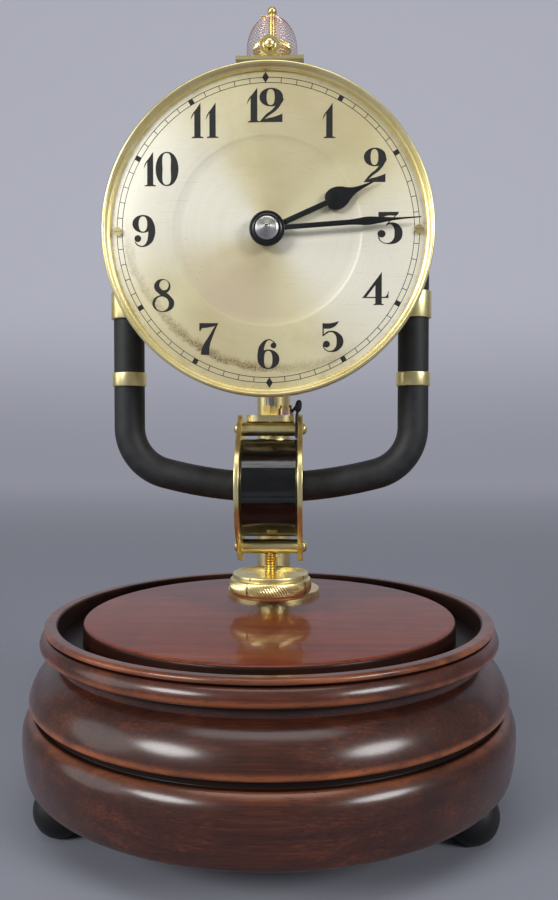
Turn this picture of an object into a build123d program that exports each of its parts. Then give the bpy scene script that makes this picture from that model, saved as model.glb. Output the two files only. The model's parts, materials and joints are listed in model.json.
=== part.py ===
"""Battery pendulum clock on a turned base: a dial in front of a small movement, a bent black magnet bar
behind it, and a pendulum whose bob is a hollow coil that swings along the bar.

Millimetres. +Z is up and the dial faces -Y. The origin is on the table, under the middle of the base.
"""
import math
import os

from build123d import *

# Base
foot_height = 15.0
foot_radius = 9.5
foot_circle_radius = 77.0
foot_count = 3
tier_radius = 88.4
tier_height = 21.2
tier_lower_inset = 1.5
tier_upper_inset = 0.5
quirk_depth = 4.9
quirk_height = 2.8
shoulder_radius = 86.0
shoulder_height = 8.7
shoulder_slope = 6.2
cove_height = 9.6
cove_depth = 3.5
bead_inset = 3.6
bead_height = 5.7
rim_quirk_height = 0.7
rim_quirk_depth = 3.0
rim_inset = 1.4
rim_height = 1.9
rim_crest_width = 2.8
rim_width = 4.6
rim_inner_edge = 0.6
groove_width = 8.6
groove_floor_rise = 0.6
panel_drop = 0.2
panel_edge_radius = 1.5
base_roof = 3.1
cavity_radius = 56.0
cover_radius = 66.0
cover_thickness = 4.0
cover_clearance = 0.3
cover_screw_circle = 61.0
cover_screw_radius = 1.6
cover_screw_head_radius = 3.2
cover_screw_head_height = 1.8
cover_screw_length = 14.0
tier_bulge_share = 0.66
foot_neck_share = 0.6
foot_sole_share = 0.4
shoulder_mid_share = 0.274
shoulder_rise_share = 0.62

# Battery in the base
cell_radius = 16.2
cell_length = 58.0
cell_cap_radius = 4.0
cell_cap_length = 1.6
cell_clearance = 0.3
contact_width = 12.0
contact_thickness = 0.8
contact_drop = 24.0
contact_foot = 11.0
lead_radius = 0.9
lead_bend_radius = 9.0
lead_drop = 18.5
lead_entry = 5.0

# Column and its foot
column_y = 35.0
column_radius = 6.9
column_bore = 2.4
spigot_radius = 5.0
spigot_tail = 9.0
flange_radius = 18.9
flange_thickness = 2.2
flange_edge_radius = 0.6
nut_across = 17.0
nut_height = 5.0
fit_clearance = 0.05

# Heights above the panel
dial_height = 136.7
coil_height = 46.0
collar_middle_height = 114.1
ring_middle_height = 86.6
arm_top_height = 132.0
bridge_height = 202.8
clamp_bottom_height = 128.0

# Magnet bar, arms, rings and collars
pendulum_y = 5.2
bar_radius = 5.7
arm_x = 53.4
bend_radius = 18.0
ring_radius = 6.35
ring_length = 5.2
collar_radius = 6.65
collar_length = 10.0
collar_lug_width = 6.0
collar_lug_height = 6.0
collar_screw_radius = 1.4
collar_screw_head_radius = 2.8
collar_screw_head_height = 2.0
collar_screw_length = 7.5

# Frame plate and column clamp
frame_gap = 10.8
frame_thickness = 3.0
cross_arm_height = 8.0
clamp_height = 18.0
clamp_wall = 3.4
clamp_neck_width = 12.0

# Suspension on the bridge
bridge_width = 25.0
bridge_thickness = 1.3
bridge_front_y = -1.0
bridge_back_margin = 8.0
bridge_screw_radius = 2.3
bridge_screw_head_radius = 4.4
bridge_screw_head_height = 3.0
bridge_screw_length = 10.0
pivot_drop = 1.2
chop_width = 4.4
chop_depth = 5.8
chop_height = 8.0
yoke_width = 6.8
yoke_lug = 1.6
yoke_floor = 1.3
yoke_height = 6.0
yoke_clearance = 0.2
suspension_screw_height = 5.0
suspension_screw_radius = 1.6
suspension_cup_radius = 3.6
suspension_cup_length = 1.8
suspension_ball_radius = 2.4
strip_thickness = 0.25
strip_width = 4.6
strip_free_length = 6.0
strip_gap = 0.12

# Lead post, thumb nut and copper beehive
post_y = 20.5
post_radius = 1.3
post_shoulder_radius = 3.0
post_shoulder_height = 10.5
post_ball_radius = 1.85
post_height = 28.2
post_tail = 2.4
post_pin_radius = 0.35
post_pin_length = 4.4
post_pin_drop = 3.4
bush_radius = 4.4
bush_flange = 1.2
thumb_nut_radius = 7.5
thumb_nut_height = 2.7
thumb_nut_hub_radius = 3.4
thumb_nut_hub_height = 1.2
beehive_radius = 10.0
beehive_foot_radius = 8.2
beehive_wire_radius = 0.15
beehive_waist_height = 11.4
beehive_top_height = 12.6
beehive_lower_turns = 8
beehive_upper_turns = 11
beehive_seat_gap = 0.05
beehive_top_share = 0.2
steps_per_turn = 4
samples_per_turn = 24
direction_step = 0.005

# Movement
pendulum_clearance = 5.2
plate_thickness = 1.5
plate_width = 48.0
plate_below = 24.0
plate_above = 33.0
plate_corner = 4.0
train_depth = 8.0
pillar_radius = 2.5
pillar_x = 20.5
pillar_below = 20.5
pillar_above = 29.5
screw_radius = 1.0
screw_head_radius = 2.0
screw_head_height = 1.2
screw_reach = 4.0
arbor_radius = 0.8
centre_arbor_radius = 1.0
pivot_clearance = 0.05
end_shake = 0.2
gear_width = 1.0
pinion_overhang = 0.3
level_gap = 1.1
train_module = 0.35
centre_wheel_teeth = 76
intermediate_wheel_teeth = 72
pinion_teeth = 12
ratchet_teeth = 120
ratchet_radius = 10.0
ratchet_tooth_depth = 0.45
spoke_count = 4
wheel_rim_share = 0.8
wheel_hub_share = 0.24
spoke_share = 0.12
tooth_width_share = 0.4
tooth_rise_share = 0.8
tooth_fall_share = 1.25
flank_slope_share = 0.36
intermediate_bearing = 180.0
fork_rise = 25.15
fork_to_ratchet = 17.2
fork_length = 32.0
fork_arm_width = 2.6
fork_thickness = 1.0
fork_hub_radius = 2.2
fork_prong_length = 6.0
fork_prong_width = 1.2
fork_pin_clearance = 0.3
fork_plate_gap = 1.0
contact_pin_radius = 0.6
contact_pin_clearance = 0.6
pawl_clearance = 0.15
pawl_root_width = 1.8
pawl_tip_width = 0.5
click_post_radius = 1.5
click_post_distance = 13.5
click_post_bearing = 100.0
click_tip_bearing = 60.0
click_width = 0.6

# Motion work behind the dial
motion_gap = 0.5
cannon_teeth = 12
motion_wheel_teeth = 36
motion_pinion_teeth = 10
hour_wheel_teeth = 40
cannon_module = 0.5
motion_bearing = -30.0
motion_stud_radius = 0.9
cannon_pipe_radius = 1.5
hour_pipe_bore = 1.6
hour_pipe_radius = 2.3

# Dial, bezel and hands
dial_stand_off = 5.0
dial_thickness = 1.2
dial_edge_inset = 2.0
dial_hole_radius = 3.2
dial_dish_radius = 32.5
dial_dish_depth = 0.3
dial_foot_radius = 1.5
dial_screw_inset = 3.3
dial_screw_head_radius = 1.6
dial_screw_head_height = 0.9
dial_screw_radius = 0.9
dial_screw_slot = 0.4
bezel_radius = 57.5
bezel_lip_inset = 3.6
bezel_crest = 2.9
bezel_back = 4.5
bezel_lip_height = 1.35
bezel_lip_width = 1.4
bezel_lug_length = 6.4
bezel_lug_width = 8.0
bezel_lug_thickness = 2.5
hand_thickness = 0.5
hour_hand_gap = 1.2
minute_hand_gap = 1.2
hour_hand_length = 41.0
hour_hand_stem = 1.9
hour_bulb_width = 7.5
hour_boss_radius = 4.2
hour_rest_bearing = 66.2
minute_hand_length = 52.7
minute_hand_width = 1.9
minute_swell_width = 2.9
minute_boss_radius = 5.0
minute_rest_bearing = 86.1
hand_tip_width = 0.3
collet_radius = 6.1
collet_thickness = 0.7
hand_nut_radius = 4.15
hand_nut_height = 3.2
hand_nut_rim = 0.8
hour_bulb_start_share = 0.53
hour_bulb_peak_share = 0.645
hour_bulb_end_share = 0.83
minute_swell_share = 0.63
minute_needle_share = 0.82
minute_needle_width_share = 0.45
minute_stem_share = 0.49
hour_neck_share = 0.6
hour_waist_share = 0.33
hour_flank_share = 0.82
dial_foot_share = 0.33

# Pendulum
rod_radius = 1.6
rod_head_radius = 3.2
rod_head_length = 9.0
rod_spigot_radius = 1.3
wrap_radius = 18.6
wrap_half_length = 10.4
bobbin_bore_radius = 9.3
bobbin_wall = 0.95
winding_clearance = 0.05
cheek_radius = 21.3
cheek_thickness = 1.8
cheek_tab_width = 8.0
cross_pillar_radius = 2.75
cross_pillar_rise = 22.0
cross_pillar_fall = 22.4
cheek_tab_overhang = 5.5
cheek_screw_radius = 0.9
cheek_screw_head_radius = 2.2
cheek_screw_head_height = 1.6
cheek_screw_reach = 4.0
bracket_width = 17.8
bracket_depth = 10.0
bracket_thickness = 2.4
rod_nut_across = 5.3
rod_nut_height = 3.6
nut_turn = 30.0
terminal_x = 5.9
terminal_washer_radius = 2.9
terminal_washer_thickness = 0.8
terminal_washer_count = 3
terminal_screw_radius = 1.1
terminal_head_radius = 2.3
terminal_head_height = 1.3
coil_lead_radius = 0.45
coil_lead_rise = 0.9
coil_lead_bend_radius = 0.55
coil_lead_ease_radius = 1.5
coil_lead_front = 2.4
coil_lead_gap = 0.1
coil_lead_lean = 1.05
coil_lead_start = 2.2
thread_radius = 2.25
thread_pitch = 1.0
thread_depth = 0.45
thread_crest_share = 0.25
thread_root_share = 0.625
rating_nut_radius = 15.6
rating_nut_height = 8.3
rating_nut_top_radius = 13.8
rating_nut_bottom_radius = 14.4
rating_nut_top_chamfer = 2.0
rating_nut_bottom_chamfer = 2.5
rating_nut_height_over_panel = 5.5
thread_clearance = 0.06

overrun = 1.0
full_turn = 360.0
half_turn = 180.0
quarter_turn = 90.0
hex_sides = 6

# Places worked out from the sizes above
bead_radius = shoulder_radius - bead_inset
rim_radius = bead_radius - rim_inset
groove_radius = rim_radius - rim_width
panel_radius = groove_radius - groove_width
base_z = foot_height
tier_top_z = base_z + tier_height
quirk_top_z = tier_top_z + quirk_height
shoulder_top_z = quirk_top_z + shoulder_height
cove_top_z = shoulder_top_z + cove_height
bead_top_z = cove_top_z + bead_height
rim_quirk_top_z = bead_top_z + rim_quirk_height
rim_top_z = rim_quirk_top_z + rim_height
panel_z = rim_top_z - panel_drop
groove_floor_z = cove_top_z + groove_floor_rise
cavity_top_z = cove_top_z - base_roof
cover_top_z = base_z + cover_thickness
spigot_z = cavity_top_z - spigot_tail
dial_z = panel_z + dial_height
dial_radius = bezel_radius - dial_edge_inset
dial_screw_circle = dial_radius - dial_screw_inset
bezel_lip_radius = bezel_radius - bezel_lip_inset
coil_z = panel_z + coil_height
collar_z = panel_z + collar_middle_height
ring_z = panel_z + ring_middle_height
arm_top_z = panel_z + arm_top_height
bridge_z = panel_z + bridge_height
bridge_top_z = bridge_z + bridge_thickness
pivot_z = bridge_z - pivot_drop
bar_arc_radius = pivot_z - coil_z

movement_back_y = pendulum_y - pendulum_clearance
back_plate_front_y = movement_back_y - plate_thickness
front_plate_back_y = back_plate_front_y - train_depth
front_plate_y = front_plate_back_y - plate_thickness
dial_back_y = front_plate_y - dial_stand_off
dial_y = dial_back_y - dial_thickness
hour_hand_y = dial_y - hour_hand_gap
minute_hand_y = hour_hand_y - hand_thickness - minute_hand_gap
collet_y = minute_hand_y - hand_thickness
hand_nut_y = collet_y - collet_thickness
frame_y = pendulum_y + frame_gap
frame_back_y = frame_y + frame_thickness


def along_x(radius, x0, x1, y, z):
    """Return a round bar along X."""
    bar = Cylinder(radius, x1 - x0, align=(Align.CENTER, Align.CENTER, Align.MIN))
    return Pos(x0, y, z) * Rot(0, quarter_turn, 0) * bar


def along_y(radius, y0, y1, x, z):
    """Return a round bar along Y."""
    bar = Cylinder(radius, y1 - y0, align=(Align.CENTER, Align.CENTER, Align.MIN))
    return Pos(x, y0, z) * Rot(-quarter_turn, 0, 0) * bar


def along_z(radius, z0, z1, x=0, y=0):
    """Return a round bar along Z."""
    bar = Cylinder(radius, z1 - z0, align=(Align.CENTER, Align.CENTER, Align.MIN))
    return Pos(x, y, z0) * bar


def hole_x(radius, x0, x1, y, z):
    """Return a cutter along X that runs past both ends."""
    return along_x(radius, x0 - overrun, x1 + overrun, y, z)


def hole_y(radius, y0, y1, x, z):
    """Return a cutter along Y that runs past both ends."""
    return along_y(radius, y0 - overrun, y1 + overrun, x, z)


def hole_z(radius, z0, z1, x=0, y=0):
    """Return a cutter along Z that runs past both ends."""
    return along_z(radius, z0 - overrun, z1 + overrun, x, y)


def hex_face(across):
    """Return a hexagon by its size across the flats."""
    return RegularPolygon(across / 2, hex_sides, major_radius=False)


def block(x0, x1, y0, y1, z0, z1):
    """Return a box between two corners."""
    box = Box(x1 - x0, y1 - y0, z1 - z0, align=(Align.MIN, Align.MIN, Align.MIN))
    return Pos(x0, y0, z0) * box


def turned_z(edges):
    """Return a solid turned about Z from a closed outline of (radius, height) edges."""
    return revolve(Plane.XZ * make_face(edges), Axis.Z)


def turned_y(edges):
    """Return a solid turned about Y from a closed outline of (radius, y) edges."""
    return revolve(make_face(edges), Axis.Y)


def outline(points):
    """Return a closed outline of straight lines."""
    return Polyline(*points, close=True)


def slab_y(face, y0, y1):
    """Return a flat shape drawn in x and z, as thick as from y0 to y1."""
    return Pos(0, y1, 0) * (Plane.XZ * extrude(face, y1 - y0))


def bearing_point(centre, distance, bearing):
    """Return the (x, z) place at a distance and a bearing, counted from +X towards +Z."""
    angle = math.radians(bearing)
    return (centre[0] + distance * math.cos(angle), centre[1] + distance * math.sin(angle))


def group(shapes):
    """Return separate solids as one node."""
    return Compound([solid for shape in shapes for solid in shape.solids()])


def save(node, shape):
    """Write one node."""
    export_step(shape, f"parts/{node}.step")


os.makedirs("parts", exist_ok=True)

# Base body: bottom tier, quirk, shoulder, cove and the dome groove's raised floor, hollow from below
tier_lower = (tier_radius - tier_lower_inset, base_z)
tier_middle = (tier_radius, base_z + tier_height * tier_bulge_share)
tier_upper = (tier_radius - tier_upper_inset, tier_top_z)
quirk_radius = tier_upper[0] - quirk_depth
shoulder_lower = (shoulder_radius, quirk_top_z)
shoulder_upper = (shoulder_radius - shoulder_slope, shoulder_top_z)
shoulder_middle = (
    shoulder_radius - shoulder_slope * shoulder_mid_share,
    quirk_top_z + shoulder_height * shoulder_rise_share,
)
bead_inner_radius = bead_radius - bead_height / 2
cove_upper = (bead_inner_radius, cove_top_z)
cove_middle = (shoulder_upper[0] - cove_depth, shoulder_top_z + cove_height / 2)
floor_outer_radius = groove_radius - fit_clearance
floor_inner_radius = panel_radius + fit_clearance
base_outline = [
    ThreePointArc(tier_lower, tier_middle, tier_upper),
    Polyline(tier_upper, (quirk_radius, tier_top_z), (quirk_radius, quirk_top_z), shoulder_lower),
    ThreePointArc(shoulder_lower, shoulder_middle, shoulder_upper),
    ThreePointArc(shoulder_upper, cove_middle, cove_upper),
    Polyline(
        cove_upper,
        (floor_outer_radius, cove_top_z),
        (floor_outer_radius, groove_floor_z),
        (floor_inner_radius, groove_floor_z),
        (floor_inner_radius, cove_top_z),
        (0, cove_top_z),
        (0, cavity_top_z),
        (cavity_radius, cavity_top_z),
        (cavity_radius, cover_top_z),
        (cover_radius, cover_top_z),
        (cover_radius, base_z),
        tier_lower,
    ),
]
base_body = turned_z(base_outline)
base_body -= hole_z(spigot_radius + fit_clearance, cavity_top_z, cove_top_z, y=column_y)
cover_screw_places = [
    bearing_point((0, 0), cover_screw_circle, full_turn / foot_count * index + quarter_turn)
    for index in range(foot_count)
]
cover_screw_top_z = base_z + cover_screw_length
for x, y in cover_screw_places:
    base_body -= along_z(cover_screw_radius, base_z, cover_screw_top_z, x, y)
save("base_body", base_body)

# Rim moulding round the dome groove
rim_crest_outer = rim_radius - rim_crest_width / 2
rim_outline = [
    ThreePointArc(
        (bead_inner_radius, cove_top_z),
        (bead_radius, cove_top_z + bead_height / 2),
        (bead_inner_radius, bead_top_z),
    ),
    Polyline(
        (bead_inner_radius, bead_top_z),
        (bead_radius - rim_quirk_depth, bead_top_z),
        (bead_radius - rim_quirk_depth, rim_quirk_top_z),
        (rim_radius, rim_quirk_top_z),
    ),
    RadiusArc((rim_radius, rim_quirk_top_z), (rim_crest_outer, rim_top_z), -rim_height),
    Polyline(
        (rim_crest_outer, rim_top_z),
        (groove_radius + rim_inner_edge, rim_top_z),
        (groove_radius, rim_top_z - rim_inner_edge),
        (groove_radius, cove_top_z),
        (bead_inner_radius, cove_top_z),
    ),
]
save("base_rim", turned_z(rim_outline))

# Raised panel inside the dome groove
panel_edge_z = panel_z - panel_edge_radius
panel_outline = [
    Polyline(
        (panel_radius - panel_edge_radius, panel_z),
        (0, panel_z),
        (0, cove_top_z),
        (panel_radius, cove_top_z),
        (panel_radius, panel_edge_z),
    ),
    RadiusArc((panel_radius, panel_edge_z), (panel_radius - panel_edge_radius, panel_z), -panel_edge_radius),
]
base_panel = turned_z(panel_outline)
base_panel -= hole_z(spigot_radius + fit_clearance, cove_top_z, panel_z, y=column_y)
save("base_panel", base_panel)

# Ball feet, cut flat against the base and the table, with a neck inside that keeps hold of the base
foot_middle_z = foot_radius * math.sqrt(1 - foot_sole_share**2)
foot = Pos(0, 0, foot_middle_z) * Sphere(foot_radius)
foot += along_z(foot_radius * foot_neck_share, foot_middle_z, base_z)
foot &= along_z(foot_radius + overrun, 0, base_z)
feet = []
for index in range(foot_count):
    foot_bearing = full_turn / foot_count * index - quarter_turn / foot_count
    foot_x, foot_y = bearing_point((0, 0), foot_circle_radius, foot_bearing)
    feet.append(Pos(foot_x, foot_y, 0) * foot)
save("feet", group(feet))

# Bottom cover and its screws
bottom_cover = along_z(cover_radius - cover_clearance, base_z, cover_top_z)
cover_screws = []
for x, y in cover_screw_places:
    head = along_z(cover_screw_head_radius, base_z, base_z + cover_screw_head_height, x, y)
    screw = head + along_z(cover_screw_radius, base_z, cover_screw_top_z, x, y)
    bottom_cover -= along_z(cover_screw_radius, base_z, cover_top_z, x, y)
    bottom_cover -= head
    cover_screws.append(screw)
save("bottom_cover", bottom_cover)
save("cover_screws", group(cover_screws))

# Battery cell, its contact strips and leads
cell_z = cover_top_z + cell_clearance + cell_radius
cell_half = cell_length / 2
battery_cell = along_x(cell_radius, -cell_half, cell_half, 0, cell_z)
battery_cell += along_x(cell_cap_radius, cell_half, cell_half + cell_cap_length, 0, cell_z)
save("battery_cell", battery_cell)


def contact_strip(side, reach):
    """Return one contact strip: a leg against the cell's end and a foot under the roof."""
    inner = side * reach
    leg_edges = sorted((inner, inner + side * contact_thickness))
    foot_edges = sorted((inner, inner + side * contact_foot))
    half_width = contact_width / 2
    foot_z = cavity_top_z - contact_thickness
    leg = block(*leg_edges, -half_width, half_width, cavity_top_z - contact_drop, cavity_top_z)
    return leg + block(*foot_edges, -half_width, half_width, foot_z, cavity_top_z)


positive_reach = cell_half + cell_cap_length
save("battery_contacts", group([contact_strip(1, positive_reach), contact_strip(-1, cell_half)]))


def battery_lead(side, reach):
    """Return the wire from under a contact strip's foot up into the column's bore."""
    start_x = side * (reach + contact_foot / 2)
    tail_x = side * (column_bore / 2)
    start_z = cavity_top_z - contact_thickness
    run_z = start_z - lead_drop
    path = FilletPolyline(
        (start_x, 0, start_z),
        (start_x, 0, run_z),
        (start_x, column_y, run_z),
        (tail_x, column_y, run_z),
        (tail_x, column_y, spigot_z + lead_entry),
        radius=lead_bend_radius,
    )
    return sweep(Plane(origin=path @ 0, z_dir=path % 0) * Circle(lead_radius), path)


save("battery_leads", group([battery_lead(1, positive_reach), battery_lead(-1, cell_half)]))

# Column, foot flange and nut
flange_top_z = panel_z + flange_thickness
column = along_z(column_radius, flange_top_z, bridge_z, y=column_y)
column += along_z(spigot_radius, spigot_z, flange_top_z, y=column_y)
column -= hole_z(column_bore, spigot_z, bridge_z, y=column_y)
save("column", column)

flange = along_z(flange_radius, panel_z, flange_top_z, y=column_y)
flange = fillet(flange.edges().filter_by(GeomType.CIRCLE).sort_by(Axis.Z)[-1], flange_edge_radius)
flange -= hole_z(spigot_radius + fit_clearance, panel_z, flange_top_z, y=column_y)
save("column_foot", flange)

column_nut = Pos(0, column_y, cavity_top_z - nut_height) * extrude(hex_face(nut_across), nut_height)
column_nut -= along_z(spigot_radius + fit_clearance, spigot_z, cavity_top_z + overrun, y=column_y)
save("column_nut", column_nut)

# Column clamp and frame plate
clamp_z = panel_z + clamp_bottom_height
clamp_top_z = clamp_z + clamp_height
column_clamp = along_z(column_radius + clamp_wall, clamp_z, clamp_top_z, y=column_y)
column_clamp += block(
    -clamp_neck_width / 2, clamp_neck_width / 2, frame_back_y, column_y, clamp_z, clamp_top_z
)
column_clamp -= hole_z(column_radius + fit_clearance, clamp_z, clamp_top_z, y=column_y)
save("column_clamp", column_clamp)

plate_low_z = dial_z - plate_below
plate_high_z = dial_z + plate_above
pillar_places = [
    (x, dial_z + rise) for x in (-pillar_x, pillar_x) for rise in (-pillar_below, pillar_above)
]
frame_plate = block(-plate_width / 2, plate_width / 2, frame_y, frame_back_y, plate_low_z, plate_high_z)
cross_arm_end = arm_x + collar_lug_width / 2
frame_plate += block(
    -cross_arm_end,
    cross_arm_end,
    frame_y,
    frame_back_y,
    collar_z - cross_arm_height / 2,
    collar_z + cross_arm_height / 2,
)
for x, z in pillar_places:
    frame_plate -= hole_y(screw_radius, frame_y, frame_back_y, x, z)
for side in (-1, 1):
    frame_plate -= hole_y(collar_screw_radius, frame_y, frame_back_y, side * arm_x, collar_z)
save("frame_plate", frame_plate)

# Collars with their lugs and screws, upper arms and rings
collars = []
rings = []
upper_arms = []
collar_screws = []
collar_low_z = collar_z - collar_length / 2
collar_high_z = collar_z + collar_length / 2
ring_low_z = ring_z - ring_length / 2
ring_high_z = ring_z + ring_length / 2
arm_hole = bar_radius + fit_clearance
for x in (-arm_x, arm_x):
    collar = along_z(collar_radius, collar_low_z, collar_high_z, x, pendulum_y)
    collar += block(
        x - collar_lug_width / 2,
        x + collar_lug_width / 2,
        pendulum_y,
        frame_y,
        collar_z - collar_lug_height / 2,
        collar_z + collar_lug_height / 2,
    )
    collar -= hole_z(arm_hole, collar_low_z, collar_high_z, x, pendulum_y)
    screw_tip_y = frame_back_y - collar_screw_length
    collar -= along_y(collar_screw_radius, screw_tip_y, frame_back_y, x, collar_z)
    head_back_y = frame_back_y + collar_screw_head_height
    collar_screw = along_y(collar_screw_head_radius, frame_back_y, head_back_y, x, collar_z)
    collar_screw += along_y(collar_screw_radius, screw_tip_y, frame_back_y, x, collar_z)
    collar_screws.append(collar_screw)
    ring = along_z(ring_radius, ring_low_z, ring_high_z, x, pendulum_y)
    ring -= hole_z(arm_hole, ring_low_z, ring_high_z, x, pendulum_y)
    collars.append(collar)
    rings.append(ring)
    upper_arms.append(along_z(bar_radius, ring_z, arm_top_z, x, pendulum_y))
save("arm_collars", group(collars))
save("arm_rings", group(rings))
save("upper_arms", group(upper_arms))

# Magnet bar: two short arms, two bends, and an arc about the pendulum's bending line
bend_x = arm_x - bend_radius
bend_reach = bar_arc_radius - bend_radius
bend_z = pivot_z - math.sqrt(bend_reach**2 - bend_x**2)
bend_share = bar_arc_radius / bend_reach
bend_end = (bend_x * bend_share, pivot_z - (pivot_z - bend_z) * bend_share)
bend_angle = math.atan2(pivot_z - bend_z, bend_x) / 2
bend_middle = (bend_x + bend_radius * math.cos(bend_angle), bend_z - bend_radius * math.sin(bend_angle))
bar_path = Wire(
    [
        Line((-arm_x, pendulum_y, ring_z), (-arm_x, pendulum_y, bend_z)),
        ThreePointArc(
            (-arm_x, pendulum_y, bend_z),
            (-bend_middle[0], pendulum_y, bend_middle[1]),
            (-bend_end[0], pendulum_y, bend_end[1]),
        ),
        ThreePointArc(
            (-bend_end[0], pendulum_y, bend_end[1]),
            (0, pendulum_y, pivot_z - bar_arc_radius),
            (bend_end[0], pendulum_y, bend_end[1]),
        ),
        ThreePointArc(
            (bend_end[0], pendulum_y, bend_end[1]),
            (bend_middle[0], pendulum_y, bend_middle[1]),
            (arm_x, pendulum_y, bend_z),
        ),
        Line((arm_x, pendulum_y, bend_z), (arm_x, pendulum_y, ring_z)),
    ]
)
save("magnet_bar", sweep(Plane(origin=bar_path @ 0, z_dir=bar_path % 0) * Circle(bar_radius), bar_path))

# Suspension bridge on top of the column
bridge_back_y = column_y + bridge_back_margin
half_bridge = bridge_width / 2
chop_front_y = pendulum_y - chop_depth / 2
chop_back_y = pendulum_y + chop_depth / 2
half_slot = chop_width / 2 + yoke_clearance
slot_front_y = chop_front_y - yoke_clearance
slot_back_y = chop_back_y + yoke_clearance
yoke_top_z = bridge_top_z + yoke_height
chop_slot = block(-half_slot, half_slot, slot_front_y, slot_back_y, bridge_z - overrun, yoke_top_z + overrun)
bridge = block(-half_bridge, half_bridge, bridge_front_y, bridge_back_y, bridge_z, bridge_top_z)
bridge -= chop_slot
bridge -= hole_z(bridge_screw_radius, bridge_z, bridge_top_z, y=column_y)
bridge -= hole_z(post_shoulder_radius, bridge_z, bridge_top_z, y=post_y)
save("suspension_bridge", bridge)

bridge_screw_top_z = bridge_top_z + bridge_screw_head_height
bridge_screw = along_z(bridge_screw_head_radius, bridge_top_z, bridge_screw_top_z, y=column_y)
bridge_screw += along_z(bridge_screw_radius, bridge_top_z - bridge_screw_length, bridge_top_z, y=column_y)
save("bridge_screw", bridge_screw)

yoke_front_y = slot_front_y - yoke_lug
yoke_back_y = slot_back_y + yoke_lug
half_yoke = yoke_width / 2
suspension_screw_z = bridge_top_z + suspension_screw_height - yoke_floor
yoke = block(-half_yoke, half_yoke, yoke_front_y, yoke_back_y, bridge_top_z, yoke_top_z)
yoke -= block(
    -half_yoke - overrun,
    half_yoke + overrun,
    slot_front_y,
    slot_back_y,
    bridge_top_z + yoke_floor,
    yoke_top_z + overrun,
)
yoke -= chop_slot
yoke -= hole_y(suspension_screw_radius, yoke_front_y, yoke_back_y, 0, suspension_screw_z)
save("suspension_yoke", yoke)

upper_chop = block(
    -chop_width / 2, chop_width / 2, chop_front_y, chop_back_y, pivot_z, pivot_z + chop_height
)
upper_chop -= hole_y(suspension_screw_radius, chop_front_y, chop_back_y, 0, suspension_screw_z)
save("upper_chop", upper_chop)

cup_front_y = yoke_front_y - suspension_cup_length
suspension_screw = along_y(suspension_screw_radius, yoke_front_y, yoke_back_y, 0, suspension_screw_z)
suspension_screw += along_y(suspension_cup_radius, cup_front_y, yoke_front_y, 0, suspension_screw_z)
suspension_screw += Pos(0, cup_front_y, suspension_screw_z) * Sphere(suspension_ball_radius)
save("suspension_screw", suspension_screw)

# Insulated lead post with its bush
bush_low_z = bridge_z - bush_flange
bush_high_z = bridge_top_z + bush_flange
post_bush = along_z(bush_radius, bridge_top_z, bush_high_z, y=post_y)
post_bush += along_z(bush_radius, bush_low_z, bridge_z, y=post_y)
post_bush += along_z(post_shoulder_radius, bridge_z, bridge_top_z, y=post_y)
post_bush -= hole_z(post_radius + fit_clearance, bush_low_z, bush_high_z, y=post_y)
save("post_bush", post_bush)

shoulder_z = bridge_top_z + post_shoulder_height
post_top_z = bridge_top_z + post_height
ball_z = post_top_z - post_ball_radius
pin_z = post_top_z - post_pin_drop
lead_post = along_z(post_shoulder_radius, bush_high_z, shoulder_z, y=post_y)
lead_post += along_z(post_radius, bush_low_z - post_tail, ball_z, y=post_y)
lead_post += Pos(0, post_y, ball_z) * Sphere(post_ball_radius)
lead_post += along_x(post_pin_radius, -post_pin_length, 0, post_y, pin_z)
save("lead_post", lead_post)

# Knurled thumb nut on the lead post
thumb_nut = along_z(thumb_nut_radius, shoulder_z, shoulder_z + thumb_nut_height, y=post_y)
thumb_nut_top_z = shoulder_z + thumb_nut_height + thumb_nut_hub_height
thumb_nut += along_z(thumb_nut_hub_radius, shoulder_z, thumb_nut_top_z, y=post_y)
thumb_nut -= hole_z(post_radius + pivot_clearance, shoulder_z, thumb_nut_top_z, y=post_y)
save("thumb_nut", thumb_nut)

# Beehive of copper wire: an egg-shaped spiral from the bridge to the top of the post
beehive_foot_z = bridge_top_z + beehive_wire_radius + beehive_seat_gap
beehive_waist_z = bridge_top_z + beehive_waist_height
beehive_turns = beehive_lower_turns + beehive_upper_turns
beehive_foot_angle = math.acos(beehive_foot_radius / beehive_radius)
beehive_lower_height = (beehive_waist_z - beehive_foot_z) / math.sin(beehive_foot_angle)
beehive_top_angle = math.acos(beehive_top_share)


def beehive_point(turns):
    """Return the wire's place after a number of turns from its foot."""
    if turns < beehive_lower_turns:
        rise_angle = beehive_foot_angle * (turns / beehive_lower_turns - 1)
        height = beehive_lower_height
    else:
        rise_angle = beehive_top_angle * (turns - beehive_lower_turns) / beehive_upper_turns
        height = beehive_top_height
    radius = beehive_radius * math.cos(rise_angle)
    turn_angle = math.tau * turns
    return Vector(
        radius * math.cos(turn_angle),
        post_y + radius * math.sin(turn_angle),
        beehive_waist_z + height * math.sin(rise_angle),
    )


def wire_direction(turns, step):
    """Return the wire's direction, from its places just before and after."""
    before = max(turns - step, 0)
    after = min(turns + step, beehive_turns)
    return (beehive_point(after) - beehive_point(before)).normalized()


def arc_through(start, corner, end):
    """Return the arc that leaves start towards corner and reaches end from it."""
    middle = (start + end) / 2
    rise = corner - middle
    half_chord = (end - start).length / 2
    sagitta = half_chord * math.tan(math.atan2(rise.length, half_chord) / 2)
    return ThreePointArc(start, middle + rise.normalized() * sagitta, end)


def biarc(start, start_dir, end, end_dir):
    """Return two arcs that join two places along their directions."""
    across = end - start
    both = start_dir + end_dir
    square = 2 * (1 - start_dir.dot(end_dir))
    slope = across.dot(both)
    reach = (math.sqrt(slope**2 + square * across.dot(across)) - slope) / square
    first_corner = start + start_dir * reach
    last_corner = end - end_dir * reach
    joint = (first_corner + last_corner) / 2
    return [arc_through(start, first_corner, joint), arc_through(joint, last_corner, end)]


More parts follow.
